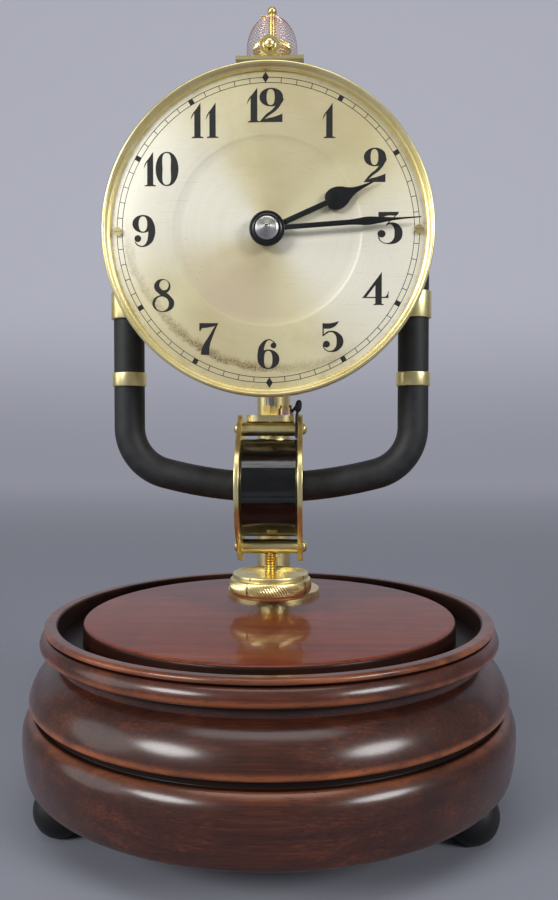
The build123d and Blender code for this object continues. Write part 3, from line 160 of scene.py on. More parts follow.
class Recipe:
    """One material and the nodes that it is mixed from."""

    def __init__(self, name: str) -> None:
        """Start an empty material.

        Args:
            name: Its name.
        """
        self.material = bpy.data.materials.new(name)
        self.material.use_nodes = True
        self.tree = self.material.node_tree
        self.tree.nodes.clear()

    def node(
        self,
        kind: str,
        settings: Optional[Mapping] = None,
        inputs: Optional[Mapping] = None,
        output: Union[int, str] = 0,
    ) -> Value:
        """Add one node.

        Args:
            kind: The node's type.
            settings: Its own settings, which are set first. A ramp's stops are (place, colour) pairs.
            inputs: Values or links for its sockets, by name or number.
            output: The output to return.

        Returns:
            That output.
        """
        made = self.tree.nodes.new(kind)
        for key, value in (settings or {}).items():
            if key == "stops":
                self._set_stops(made.color_ramp, value)
            else:
                setattr(made, key, value)
        for key, value in (inputs or {}).items():
            if isinstance(value, Value):
                self.tree.links.new(value.socket, made.inputs[key])
            else:
                made.inputs[key].default_value = value
        return Value(self, made.outputs[output])

    @staticmethod
    def _set_stops(ramp: bpy.types.ColorRamp, stops: Sequence[Tuple[float, Colour]]) -> None:
        """Give a ramp its stops.

        Args:
            ramp: The ramp.
            stops: Places and colours, from the lowest.
        """
        while len(ramp.elements) < len(stops):
            ramp.elements.new(1.0)
        for element, (place, colour) in zip(ramp.elements, stops):
            element.position = place
            element.color = (*colour, 1.0)

    def place(self, scale: Place = (1, 1, 1), shift: Place = (0, 0, 0), turn: Place = (0, 0, 0)) -> Value:
        """Return Object coordinates, scaled, turned and shifted.

        Args:
            scale: Scale on each axis, per metre.
            shift: Shift after the scale.
            turn: Turn about each axis, in degrees.

        Returns:
            The coordinates.
        """
        here = self.node("ShaderNodeTexCoord", output="Object")
        angles = tuple(math.radians(part) for part in turn)
        return self.node(
            "ShaderNodeMapping", None, {"Vector": here, "Location": shift, "Rotation": angles, "Scale": scale}
        )

    def noise(self, vector: Value, detail: float = 3.0, rough: float = 0.55, bend: float = 0.0) -> Value:
        """Return a cloudy value near 0.5.

        Args:
            vector: Where to read it, already scaled.
            detail: Octaves.
            rough: How strong the small octaves are.
            bend: How far the pattern is warped.

        Returns:
            The value.
        """
        fields = {"Vector": vector, "Scale": 1.0, "Detail": detail, "Roughness": rough, "Distortion": bend}
        return self.node("ShaderNodeTexNoise", None, fields)

    def ramp(self, value: Value, *stops: Tuple[float, Colour]) -> Value:
        """Return a colour read from a ramp."""
        return self.node("ShaderNodeValToRGB", {"stops": stops}, {0: value})

    def blend(self, share: Input, first: Input, second: Input) -> Value:
        """Mix two colours.

        Args:
            share: How much of the second colour shows.
            first: The first colour.
            second: The second colour.

        Returns:
            The mixed colour.
        """
        ends = [end if isinstance(end, Value) else (*end, 1.0) for end in (first, second)]
        return self.node("ShaderNodeMix", {"data_type": "RGBA"}, {0: share, 6: ends[0], 7: ends[1]}, 2)

    def axis(self, vector: Value, index: int) -> Value:
        """Return one of a vector's three numbers."""
        return self.node("ShaderNodeSeparateXYZ", None, {0: vector}, index)

    def vector(self, operation: str, *terms: Input, output: str = "Vector") -> Value:
        """Return a Vector Math node of the terms."""
        return self.node("ShaderNodeVectorMath", {"operation": operation}, dict(enumerate(terms)), output)

    def bump(self, height: Value, strength: float, depth: float) -> Value:
        """Return a bumped normal.

        Args:
            height: The height of the surface.
            strength: How much of the bump shows.
            depth: The height's size, in metres.

        Returns:
            The normal.
        """
        return self.node("ShaderNodeBump", None, {"Height": height, "Strength": strength, "Distance": depth})

    def surface(self, **sockets: Input) -> bpy.types.Material:
        """Finish the material with one surface.

        Args:
            sockets: The surface's sockets, with _ for each space in a name.

        Returns:
            The material.
        """
        inputs = {key.replace("_", " "): value for key, value in sockets.items()}
        shader = self.node("ShaderNodeBsdfPrincipled", None, inputs)
        end = self.tree.nodes.new("ShaderNodeOutputMaterial")
        self.tree.links.new(shader.socket, end.inputs["Surface"])
        return self.material


@dataclass(frozen=True)
class Finish:
    """A named finish."""

    name: str

    def make(self) -> bpy.types.Material:
        """Return the finish as a material."""
        raise NotImplementedError


class WornGlintEdge(NamedTuple):
    """A ring of the wood painted paler, in millimetres: partly real rubbed wear, as on the rim's crest, and partly a
    painted orange glint, as on the shoulder's lower edge and the tier's top.
    """

    height: float
    spread: float
    share: float


class Groove(NamedTuple):
    """A ring of the wood painted darker, in millimetres: its radii, its heights and its soft edge. Under the bead and
    in the quirks this is painted shade; in the groove round the panel it is a dark stain.
    """

    inner: float
    outer: float
    low: float
    high: float
    soft: float


@dataclass(frozen=True)
class Mahogany(Finish):
    """French-polished mahogany with its grain along X."""

    shift: Place = (0.0, 0.0, 0.0)
    pore: Colour = tint(16, 7, 5)
    dark: Colour = tint(42, 20, 14)
    middle: Colour = tint(66, 32, 20)
    light: Colour = tint(114, 58, 33)
    # Colour of the paler rings: rubbed wear and a painted orange glint.
    wear_and_glint: Colour = tint(178, 100, 54)
    # Colour of the dark rings: painted shade in the recesses, and a dark stain round the panel.
    grime_and_shade: Colour = tint(22, 13, 10)
    edges: Tuple[WornGlintEdge, ...] = ()
    grooves: Tuple[Groove, ...] = ()
    polish: float = 0.2
    coat: float = 0.9

    def make(self) -> bpy.types.Material:
        """Mix bands, fibres, pores, paler rings of rubbed wear and painted glint, and dark rings of painted shade and
        stain under a clear coat.

        Returns:
            The material.
        """
        mix = Recipe(self.name)
        bands = mix.noise(mix.place((10, 110, 150), self.shift), 4, 0.55, 0.7)
        fibres = mix.noise(mix.place((38, 1300, 1700), self.shift), 4, 0.65)
        pores = mix.noise(mix.place((90, 3000, 3800), self.shift), 2, 0.5).step(0.58, 0.72)
        flame = mix.noise(mix.place((120, 24, 30), self.shift), 2, 0.5)
        tone = bands * 0.44 + fibres * 0.44 + flame * 0.12
        wood = mix.ramp(tone, (0.36, self.dark), (0.53, self.middle), (0.74, self.light))
        here = mix.place(IN_MM)
        height = mix.axis(here, 2)
        # Paler rings: rubbed wear on the rim, and a painted orange glint on the base's edges.
        for edge in self.edges:
            off = height - edge.height
            wear_glint = off.step(-edge.spread, 0) * off.step(edge.spread, 0)
            wood = mix.blend(wear_glint * bands.step(0.18, 0.7) * edge.share, wood, self.wear_and_glint)
        colour = mix.blend(pores * 0.6, wood, self.pore)
        smear = mix.noise(mix.place((60, 60, 60)), 3, 0.6)
        reach = mix.vector("LENGTH", mix.vector("MULTIPLY", here, (1, 1, 0)), output="Value")
        shine = (0.8 + smear * 0.2) * self.coat
        # Dark rings: painted shade under the bead and in the quirks, a dark stain round the panel. The coat is
        # thinned there too, which also paints shade into the reflections.
        for inner, outer, low, high, soft in self.grooves:
            grime_shade_mask = reach.step(inner - soft, inner + soft) * reach.step(outer + soft, outer - soft)
            grime_shade_mask = grime_shade_mask * height.step(low - soft, low + soft) * height.step(high + soft, high - soft)
            colour = mix.blend(grime_shade_mask * (0.8 + smear * 0.2), colour, self.grime_and_shade)
            shine = shine * (1 - grime_shade_mask * 0.8)
        return mix.surface(
            Base_Color=colour,
            Roughness=0.38 + smear * 0.16,
            Specular_IOR_Level=0.15,
            Coat_Weight=shine,
            Coat_Roughness=self.polish,
            Normal=mix.bump(fibres - pores * 0.6, 0.06, 0.0002),
        )


@dataclass(frozen=True)
class Metal(Finish):
    """Polished or lacquered metal with faint clouds, spots and rub marks."""

    bright: Colour = tint(252, 238, 180)
    dull: Colour = tint(238, 219, 150)
    spot: Colour = tint(150, 122, 66)
    rough: Point = (0.24, 0.42)
    spots: float = 0.22

    def make(self) -> bpy.types.Material:
        """Mix two close tones, spots and rub marks.

        Returns:
            The material.
        """
        mix = Recipe(self.name)
        clouds = mix.noise(mix.place((130, 130, 130)), 4, 0.6)
        fine = mix.noise(mix.place((900, 900, 900)), 3, 0.6)
        rubs = mix.noise(mix.place((260, 2600, 2600), turn=(8, 12, 23)), 2, 0.5)
        colour = mix.blend(clouds.step(0.35, 0.7), self.bright, self.dull)
        flecks = fine.step(0.66, 0.78) * clouds.step(0.42, 0.62) * self.spots
        low, high = self.rough
        return mix.surface(
            Base_Color=mix.blend(flecks, colour, self.spot),
            Metallic=1.0,
            Roughness=low + (clouds * 0.6 + rubs * 0.4) * (high - low) + flecks * 0.2,
            Normal=mix.bump(rubs + fine * 0.3, 0.025, 0.00005),
        )


@dataclass(frozen=True)
class Mottled(Finish):
    """Paint, wood stain, card or rubber in two close tones."""

    dark: Colour = tint(16, 16, 17)
    light: Colour = tint(34, 34, 35)
    scale: Place = (300.0, 300.0, 300.0)
    rough: Point = (0.42, 0.6)
    grain: float = 0.15
    coat: float = 0.0

    def make(self) -> bpy.types.Material:
        """Mix both tones with a fine grain.

        Returns:
            The material.
        """
        mix = Recipe(self.name)
        clouds = mix.noise(mix.place(self.scale), 4, 0.6)
        fine = mix.noise(mix.place(tuple(part * 7 for part in self.scale)), 2, 0.5)
        low, high = self.rough
        return mix.surface(
            Base_Color=mix.blend((clouds * 0.7 + fine * 0.3).step(0.34, 0.66), self.dark, self.light),
            Roughness=low + clouds * (high - low),
            Coat_Weight=self.coat,
            Coat_Roughness=0.12,
            Normal=mix.bump(fine, self.grain, 0.00008),
        )


@dataclass(frozen=True)
class PatentWrap(Finish):
    """Black varnished tape round the coil, creased across its width."""

    dark: Colour = tint(3, 3, 4)
    light: Colour = tint(10, 10, 11)

    def make(self) -> bpy.types.Material:
        """Mix clouds and creases under a varnish.

        Returns:
            The material.
        """
        mix = Recipe(self.name)
        creases = mix.noise(mix.place((130, 520, 520)), 4, 0.6, 1.1)
        clouds = mix.noise(mix.place((90, 240, 240)), 3, 0.6)
        return mix.surface(
            Base_Color=mix.blend(clouds.step(0.4, 0.68), self.dark, self.light),
            Roughness=0.12 + clouds * 0.16,
            Coat_Weight=0.4 + clouds * 0.4,
            Coat_Roughness=0.06,
            Normal=mix.bump(creases, 0.12, 0.0004),
        )


@dataclass(frozen=True)
class Silvering(Finish):
    """Silvered brass dial: champagne, grained in rings, with painted fans of sheen and a brown line of tarnish inside
    its lower track.
    """

    silver: Colour = tint(222, 212, 172)
    painted_sheen_pale: Colour = tint(246, 243, 228)
    warm: Colour = tint(210, 198, 152)
    # Colour of the painted sheen's dull fans.
    dull: Colour = tint(192, 178, 138)
    painted_warm_sheen: Colour = tint(204, 184, 160)
    tarnish: Colour = tint(112, 88, 46)
    fleck: Colour = tint(96, 78, 46)
    sheen: Place = (-0.94, 0.0, 0.34)

    def make(self) -> bpy.types.Material:
        """Mix the turned grain, its painted sheen, the tarnish and the specks.

        Returns:
            The material.
        """
        mix = Recipe(self.name)
        here = mix.place(shift=tuple(-part * MM for part in DIAL_CENTRE))
        flat = mix.vector("MULTIPLY", here, (1, 0, 1))
        reach = mix.vector("LENGTH", flat, output="Value")
        across, upward = mix.axis(here, 0), mix.axis(here, 2)
        # Turned grain, clouds, grit and scratches
        rings = mix.noise(mix.node("ShaderNodeCombineXYZ", None, {0: reach * 2200.0, 1: across * 25.0}), 3, 0.6)
        clouds = mix.noise(mix.place((48, 48, 48)), 4, 0.6)
        patches = mix.noise(mix.place((260, 260, 260), (3, 0, 8)), 5, 0.68)
        grit = mix.noise(mix.place((1500, 1500, 1500)), 2, 0.6)
        scratch = mix.noise(mix.place((60, 60, 4200), turn=(0, 35, 0)), 1, 0.4).step(0.69, 0.74)
        nick = mix.noise(mix.place((70, 70, 5200), (5, 0, 2), (0, -52, 0)), 1, 0.4).step(0.7, 0.75)
        # Painted sheen: pale and dull fans like the light on spun grain, and a painted warm sheen low in the dished
        # middle
        tone = mix.blend(clouds.step(0.38, 0.66), self.silver, self.warm)
        aim = mix.vector("DOT_PRODUCT", mix.vector("NORMALIZE", flat), self.sheen, output="Value")
        sheen_fan = aim * aim
        tone = mix.blend(sheen_fan.step(0.3, 1.0) * (0.6 + rings * 0.4), tone, self.painted_sheen_pale)
        tone = mix.blend(sheen_fan.step(0.36, 0.0) * (0.3 + rings * 0.4), tone, self.dull)
        dish = reach.step(0.034, 0.03)
        tone = mix.blend(dish * upward.step(0.004, -0.024) * across.step(0.012, -0.016) * 0.55, tone, self.painted_warm_sheen)
        # Tarnish along its line and at the edge
        line = 0.0474 + across * 0.0694 + across * across * 1.126 + upward.step(-0.03, 0.0) * 0.0022
        off = reach - line + (patches - 0.5) * 0.0045
        arc = off.step(-0.0026, 0.0002) * off.step(0.0021, 0.0007) * upward.step(0.006, -0.01)
        arc = arc * across.step(0.036, 0.02) * (0.4 + across.step(-0.046, -0.022) * across.step(0.012, -0.004) * 0.6)
        arc = arc * (0.5 + grit.step(0.4, 0.6) * 0.5)
        edge = reach.step(0.0515, 0.0545) * patches.step(0.42, 0.68) * 0.3
        stain = arc + edge
        colour = mix.blend(stain * 0.85, tone, self.tarnish)
        # Specks in patches, and the scratches
        rash = mix.noise(mix.place((90, 90, 90), (2.0, 0, 5.0)), 2, 0.5).step(0.54, 0.66)
        specks = grit.step(0.68, 0.77) * rash
        colour = mix.blend(specks * 0.6 + (scratch + nick) * 0.16, colour, self.fleck)
        return mix.surface(
            Base_Color=colour,
            Metallic=0.3,
            Roughness=0.38 + rings * 0.1 + stain * 0.14,
            Normal=mix.bump(rings - (scratch + nick) * 0.4, 0.14, 0.00008),
        )


class Axis(Enum):
    """Which way a turned piece's own axis points."""

    UP = Matrix.Identity(4)
    DIAL = Matrix.Rotation(math.radians(90), 4, "X")
    SIDE = Matrix.Rotation(math.radians(90), 4, "Y")


@dataclass
class Piece:
    """A mesh in the making, in millimetres."""

    name: str
    mesh: bmesh.types.BMesh = field(default_factory=bmesh.new)

    def clean(self) -> "Piece":
        """Merge doubles and turn the faces outwards.

        Returns:
            The piece.
        """
        bmesh.ops.remove_doubles(self.mesh, verts=self.mesh.verts, dist=WELD)
        bmesh.ops.recalc_face_normals(self.mesh, faces=self.mesh.faces)
        return self

    def move(self, matrix: Matrix) -> "Piece":
        """Move everything made so far."""
        bmesh.ops.transform(self.mesh, matrix=matrix, verts=self.mesh.verts)
        return self

    def carry(self, step: Place) -> "Piece":
        """Carry everything made so far by a step."""
        return self.move(Matrix.Translation(step))

    def swing(self, degrees: float, axis: str) -> "Piece":
        """Turn everything made so far about an axis through the origin."""
        return self.move(Matrix.Rotation(math.radians(degrees), 4, axis))

    def stand(self, axis: Axis, at: Place) -> "Piece":
        """Turn the piece's own Z to an axis and carry it to its place."""
        return self.move(Matrix.Translation(at) @ axis.value)

    def absorb(self, *others: "Piece") -> "Piece":
        """Take the meshes of other pieces into this one.

        Args:
            others: The pieces, which end here.

        Returns:
            The piece.
        """
        for other in others:
            carried = bpy.data.meshes.new("carried")
            other.mesh.to_mesh(carried)
            self.take(carried)
            other.mesh.free()
        return self

    def take(self, mesh: bpy.types.Mesh) -> "Piece":
        """Take a mesh into this piece.

        Args:
            mesh: The mesh, which ends here.

        Returns:
            The piece.
        """
        self.mesh.from_mesh(mesh)
        bpy.data.meshes.remove(mesh)
        return self

    def finish(
        self,
        finish: bpy.types.Material,
        body: str,
        nodes: Sequence[str] = (),
        slot: Optional[str] = None,
        sharp: float = 32.0,
    ) -> bpy.types.Object:
        """Make the object, dress it and set it on its body.

        Args:
            finish: The piece's material.
            body: The CAD body that it moves with.
            nodes: CAD nodes that it stands for.
            slot: The record's material slot. It is not used.
            sharp: Edges that turn by more degrees than this stay sharp.

        Returns:
            The object.
        """
        bmesh.ops.scale(self.mesh, vec=(MM, MM, MM), verts=self.mesh.verts)
        data = bpy.data.meshes.new(self.name)
        self.mesh.to_mesh(data)
        self.mesh.free()
        data.shade_smooth()
        data.set_sharp_from_angle(angle=math.radians(sharp))
        data.materials.append(finish)
        made = link(self.name, data)
        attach(made, body)
        if nodes:
            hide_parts(*nodes)
        log.info("%s: %d faces on %s", self.name, len(data.polygons), body)
        return made


class Turning(Piece):
    """A piece turned about its own Z from a profile of (radius, height) places."""

    def start(self, radius: float, height: float) -> "Turning":
        """Set the first place of the profile.

        Args:
            radius: Its radius.
            height: Its height.

        Returns:
            The turning.
        """
        self.first = self.tip = self.mesh.verts.new((radius, 0, height))
        self.soft: Dict[float, List[bmesh.types.BMVert]] = {}
        return self

    def to(self, *places: Point) -> "Turning":
        """Go on in straight lines.

        Args:
            places: Where they end, one after the other.

        Returns:
            The turning.
        """
        for radius, height in places:
            self.tip = bmesh.ops.extrude_vert_indiv(self.mesh, verts=[self.tip])["verts"][0]
            self.tip.co = (radius, 0, height)
        return self

    def ease(self, offset: float) -> "Turning":
        """Mark the last place as a corner to round off."""
        self.soft.setdefault(offset, []).append(self.tip)
        return self

    def arc(self, middle: Point, end: Point, steps: int = 12) -> "Turning":
        """Go on along an arc.

        Args:
            middle: A place on the arc.
            end: Where it ends.
            steps: How many edges it has.

        Returns:
            The turning.
        """
        a = Vector((self.tip.co.x, self.tip.co.z))
        b, c = Vector(middle), Vector(end)
        twice = 2 * (a.x * (b.y - c.y) + b.x * (c.y - a.y) + c.x * (a.y - b.y))
        squares = [place.length_squared for place in (a, b, c)]
        centre = Vector(
            (
                (squares[0] * (b.y - c.y) + squares[1] * (c.y - a.y) + squares[2] * (a.y - b.y)) / twice,
                (squares[0] * (c.x - b.x) + squares[1] * (a.x - c.x) + squares[2] * (b.x - a.x)) / twice,
            )
        )
        first, last = a - centre, c - centre
        angle = math.atan2(last.y, last.x) - math.atan2(first.y, first.x)
        angle = angle % FULL_TURN if twice > 0 else -(-angle % FULL_TURN)
        swung = bmesh.ops.spin(
            self.mesh, geom=[self.tip], cent=(centre.x, 0, centre.y), axis=(0, -1, 0), angle=angle, steps=steps
        )
        self.tip = verts_of(swung["geom_last"])[0]
        self.tip.co = (c.x, 0, c.y)
        return self

    def close(self) -> "Turning":
        """Join the last place to the first."""
        self.mesh.edges.new((self.tip, self.first))
        return self

    def turn(self, steps: int = 96, angle: float = FULL_TURN) -> "Turning":
        """Round the marked corners and spin the profile.

        Args:
            steps: How many faces there are round the piece.
            angle: How far it is spun.

        Returns:
            The turning.
        """
        for offset, corners in self.soft.items():
            bmesh.ops.bevel(
                self.mesh,
                geom=corners,
                offset=offset,
                segments=4,
                profile=0.5,
                affect="VERTICES",
                material=-1,
                clamp_overlap=True,
            )
        bmesh.ops.spin(
            self.mesh,
            geom=self.mesh.verts[:] + self.mesh.edges[:],
            cent=(0, 0, 0),
            axis=(0, 0, 1),
            angle=angle,
            steps=steps,
            use_merge=angle == FULL_TURN,
        )
        self.clean()
        return self


class Corner(Enum):
    """How an outline runs through one of its places."""

    SHARP = "VECTOR"
    SMOOTH = "AUTO"


class Outline:
    """Flat outlines that become meshes. A place is 'x,y', with ~ after it where the line runs smoothly."""

    curve_steps = 10
    edge_steps = 2
    wire_steps = 4

    @staticmethod
    def places(words: str) -> List[Tuple[float, float, Corner]]:
        """Read an outline's places.

        Args:
            words: The places, with spaces between them.

        Returns:
            Each place and how the line runs through it.
        """
        found = []
        for word in words.split():
            corner = Corner.SMOOTH if word.endswith("~") else Corner.SHARP
            across, up = word.rstrip("~").split(",")
            found.append((float(across), float(up), corner))
        return found

    @staticmethod
    def oval(across: float, up: float, half_width: float, half_height: float) -> str:
        """Return an oval as an outline."""
        ends = ((half_width, 0), (0, half_height), (-half_width, 0), (0, -half_height))
        return " ".join(f"{across + x},{up + y}~" for x, y in ends)

    @staticmethod
    def box(half_width: float, half_height: float) -> str:
        """Return a box round its own middle as an outline."""
        corners = ((-1, -1), (1, -1), (1, 1), (-1, 1))
        return " ".join(f"{x * half_width},{y * half_height}" for x, y in corners)

    @staticmethod
    def mesh_of(curve: bpy.types.Curve) -> bpy.types.Mesh:
        """Turn a curve into a mesh.

        Args:
            curve: The curve, which ends here.

        Returns:
            The mesh.
        """
        holder = bpy.data.objects.new(curve.name, curve)
        mesh = bpy.data.meshes.new_from_object(holder)
        bpy.data.objects.remove(holder)
        bpy.data.curves.remove(curve)
        return mesh

    @classmethod
    def filled(cls, loops: Sequence[str], thickness: float, edge: float = 0.0) -> bpy.types.Mesh:
        """Fill outlines and give them a thickness.

        Args:
            loops: An outline, and the outlines of its holes.
            thickness: The thickness, half of it each side of the outlines' plane.
            edge: How much the edges are rounded.

        Returns:
            The mesh.
        """
        curve = bpy.data.curves.new("outline", "CURVE")
        curve.dimensions = "2D"
        curve.fill_mode = "BOTH"
        curve.resolution_u = cls.curve_steps
        curve.extrude = thickness / 2 - edge
        curve.bevel_depth = edge
        curve.bevel_resolution = cls.edge_steps
        curve.offset = -edge
        for loop in loops:
            places = cls.places(loop)
            spline = curve.splines.new("BEZIER")
            spline.bezier_points.add(len(places) - 1)
            spline.use_cyclic_u = True
            for point, (across, up, corner) in zip(spline.bezier_points, places):
                point.co = (across, up, 0)
                point.handle_left_type = point.handle_right_type = corner.value
        return cls.mesh_of(curve)

    @classmethod
    def line(cls, route: Iterable[Place], radius: float, sides: int = 2) -> bpy.types.Curve:
        """Return a round wire along a smooth line, as a curve.

        Args:
            route: The line's control points.
            radius: The wire's radius.
            sides: Half the number of its sides, less two.

        Returns:
            The curve.
        """
        curve = bpy.data.curves.new("wire", "CURVE")
        curve.dimensions = "3D"
        curve.bevel_depth = radius
        curve.bevel_resolution = sides
        curve.use_fill_caps = True
        curve.resolution_u = cls.wire_steps
        points = list(route)
        spline = curve.splines.new("NURBS")
        spline.points.add(len(points) - 1)
        for point, place in zip(spline.points, points):
            point.co = (*place, 1.0)
        spline.order_u = 3
        spline.use_endpoint_u = True
        return curve

    @classmethod
    def wire(cls, route: Iterable[Place], radius: float, sides: int = 2) -> bpy.types.Mesh:
        """Return a round wire along a smooth line, as a mesh."""
        return cls.mesh_of(cls.line(route, radius, sides))


def block(name: str, low: Place, high: Place, edge: float = 0.2) -> Piece:
    """Return a block with rounded edges.

    Args:
        name: The piece's name.
        low: Its lowest corner.
        high: Its highest corner.
        edge: How much its edges are rounded.

    Returns:
        The piece.
    """
    made = Piece(name)
    size = Vector(high) - Vector(low)
    middle = (Vector(high) + Vector(low)) / 2
    bmesh.ops.create_cube(made.mesh, size=1.0, matrix=Matrix.Translation(middle) @ Matrix.Diagonal((*size, 1)))
    bmesh.ops.bevel(
        made.mesh, geom=made.mesh.edges[:], offset=edge, segments=3, profile=0.5, affect="EDGES", material=-1
    )
    return made


class Finishes:
    """Every finish of the clock, made once and found by name."""

    listed: Sequence[Finish] = (
        Mahogany(
            "mahogany",
            # Painted orange glint along the shoulder's lower edge and the tier's top.
            edges=(WornGlintEdge(40.0, 2.0, 0.72), WornGlintEdge(35.6, 1.8, 0.3)),
            # Painted shade under the bead and in the quirk between the shoulder and the tier.
            grooves=(Groove(60.0, 78.0, 55.0, 59.0, 0.9), Groove(78.0, 84.6, 35.9, 39.3, 0.25)),
        ),
        Mahogany(
            "mahogany_rim",
            (3.1, 7.7, 1.9),
            dark=tint(52, 24, 16),
            middle=tint(80, 38, 24),
            light=tint(126, 64, 36),
            edges=(WornGlintEdge(64.6, 1.6, 0.72), WornGlintEdge(58.6, 1.6, 0.6)),
            # Painted shade in the quirks round the bead, and a dark stain on the rim's inner wall.
            grooves=(
                Groove(70.0, 76.9, 55.0, 80.0, 0.15),
                Groove(78.6, 80.4, 62.95, 63.85, 0.12),
                Groove(78.6, 81.0, 56.8, 57.7, 0.3),
            ),
        ),
        Mahogany(
            "mahogany_panel",
            (8.3, 2.2, 5.4),
            dark=tint(90, 36, 19),
            middle=tint(120, 53, 28),
            light=tint(150, 77, 40),
            grooves=(Groove(67.45, 80.0, 50.0, 66.0, 0.15),),
            polish=0.09,
            coat=0.54,
        ),
        Mottled("black_wood", tint(3, 3, 3), tint(9, 9, 9), (60, 320, 320), (0.4, 0.55), 0.05),
        Mottled("board", tint(96, 78, 58), tint(132, 110, 84), (240, 240, 240), (0.7, 0.85), 0.25),
        Mottled("cell_jacket", tint(28, 44, 74), tint(44, 62, 96), (160, 160, 160), (0.3, 0.4), 0.03, 0.3),
        Mottled("black_iron", tint(20, 21, 22), tint(37, 38, 39), (210, 210, 210), (0.5, 0.66), 0.3),
        Mottled("blued_steel", tint(4, 4, 6), tint(12, 12, 15), (420, 420, 420), (0.3, 0.42), 0.04, 0.15),
        Mottled("black_fibre", tint(16, 14, 13), tint(34, 30, 28), (400, 400, 400), (0.5, 0.62), 0.2),
        Mottled("lead_cover", tint(8, 9, 9), tint(24, 25, 24), (900, 900, 900), (0.45, 0.65), 0.3),
        Mottled("dial_black", tint(9, 8, 8), tint(24, 22, 20), (700, 700, 700), (0.5, 0.65), 0.08),
        Metal("pale_brass"),
        Metal("brass", tint(240, 212, 128), tint(210, 174, 88), tint(122, 82, 34)),
        Metal("steel", tint(206, 206, 204), tint(168, 168, 166), tint(92, 90, 86), (0.24, 0.4), 0.15),
        Metal("copper", tint(250, 214, 196), tint(236, 186, 164), tint(150, 94, 72), (0.2, 0.34), 0.15),
        Silvering("silvered_dial"),
        PatentWrap("black_wrap"),
    )

    def __init__(self) -> None:
        """Make every finish."""
        self.made = {finish.name: finish.make() for finish in self.listed}

    def __getitem__(self, name: str) -> bpy.types.Material:
        """Return a finish by its name."""
        return self.made[name]

    def dress_nodes(self) -> None:
        """Give every CAD node the finish of its slot."""
        for row in frame["record"]["subparts"]:
            node = frame["nodes"][row["node"]]
            node.data.materials.clear()
            node.data.materials.append(self[row["material_slot"]])


@dataclass
class Assembly:
    """A sub-assembly of the clock and the finishes that it is dressed in."""

    finishes: Finishes

    def build(self) -> None:
        """Build every piece of the sub-assembly."""
        raise NotImplementedError


@dataclass
class Base(Assembly):
    """Turned base: hollow body, rim moulding, raised panel and three ball feet."""

    steps: int = 240
    foot_circle: float = 77.0
    foot_bearings: Tuple[float, ...] = (-30.0, 90.0, 210.0)

    def body(self) -> None:
        """Turn the tier, quirk, long shoulder and the short wall under the rim."""
        made = Turning("turned_base").start(0, 54.2)
        made.to((56, 54.2), (56, 19), (66, 19), (66, 15), (86.9, 15)).ease(1.8)
        made.arc((88.1, 21.5), (88.4, 28.9), 12).arc((87.45, 33.1), (84.9, 36.2), 16).ease(0.5)
        made.to((83.0, 36.2)).ease(0.3).to((83.0, 39.0)).ease(0.3).to((85.0, 39.0))
        made.arc((85.85, 39.35), (86.2, 40.2), 6).arc((83.4, 47.2), (77.0, 53.2), 22)
        made.to((77.0, 57.3), (76.35, 57.3), (76.35, 57.9), (67.85, 57.9), (67.85, 57.3), (0, 57.3))
        made.turn(self.steps).finish(self.finishes["mahogany"], "stand", ["base_body"], "mahogany")

    def rim(self) -> None:
        """Turn the bead, its quirk and the crest round the dome groove."""
        made = Turning("rim_moulding").start(79.55, 57.3).arc((81.75, 57.75), (82.5, 59.3), 8)
        made.arc((82.02, 61.07), (81.0, 62.6), 12).arc((80.35, 62.98), (79.55, 63.05), 6)
        made.to((79.4, 63.05), (79.4, 63.7)).ease(0.15).to((80.7, 63.7)).ease(0.25)
        made.arc((80.85, 64.75), (79.4, 65.6), 10).to((77.0, 65.6)).ease(0.5)
        made.to((76.4, 65.0), (76.4, 57.3)).close()
        made.turn(self.steps).finish(self.finishes["mahogany_rim"], "stand", ["base_rim"], "mahogany")

    def panel(self) -> None:
        """Turn the panel that the column stands on."""
        made = Turning("raised_panel").start(0, 57.3).to((67.8, 57.3), (67.8, 63.9))
        made.arc((67.36, 64.96), (66.3, 65.4), 8).to((0, 65.4))
        made.turn(self.steps).finish(self.finishes["mahogany_panel"], "stand", ["base_panel"], "mahogany")

    def feet(self) -> None:
        """Turn three ball feet."""
        feet = Piece("ball_feet")
        for bearing in self.foot_bearings:
            angle = math.radians(bearing)
            foot = Turning("foot").start(0, 15.0).to((7.12, 15.0)).arc((9.5, 8.71), (3.8, 0.0), 26).ease(0.6)
            foot.to((0, 0)).turn(64)
            at = (self.foot_circle * math.cos(angle), self.foot_circle * math.sin(angle), 0)
            feet.absorb(foot.stand(Axis.UP, at))
        feet.finish(self.finishes["black_wood"], "stand", ["feet"], "black_wood")

    def build(self) -> None:
        """Build the base."""
        self.body()
        self.rim()
        self.panel()
        self.feet()


@dataclass
class Wiring(Assembly):
    """Two leads in the hollow base, from the battery contacts up into the column's bore."""

    radius: float = 0.9
    starts: Point = (36.1, -34.5)
    tails: Point = (1.2, -1.2)
    column_y: float = 35.0
    lengths: Point = (84.2, 82.9)
    start_z: float = 53.4
    run_z: float = 34.9
    tail_z: float = 50.2

    def build(self) -> None:
        """Lay both leads on their smooth routes."""
        for name, start, tail, length in zip(("right", "left"), self.starts, self.tails, self.lengths):
            runs = ((start, 0, self.start_z), (start, 0, self.run_z), (start, self.column_y, self.run_z))
            route = (*runs, (tail, self.column_y, self.run_z), (tail, self.column_y, self.tail_z))
            metres = [tuple(part * MM for part in place) for place in route]
            curve = Outline.line(metres, self.radius * MM, 3)
            curve.materials.append(self.finishes["lead_cover"])
            made = link(f"battery_lead_{name}", curve)
            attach(made, "stand")
            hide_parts("battery_leads")
            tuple(metres[0])
            log.info("%s: %.0f mm long on stand", made.name, length)


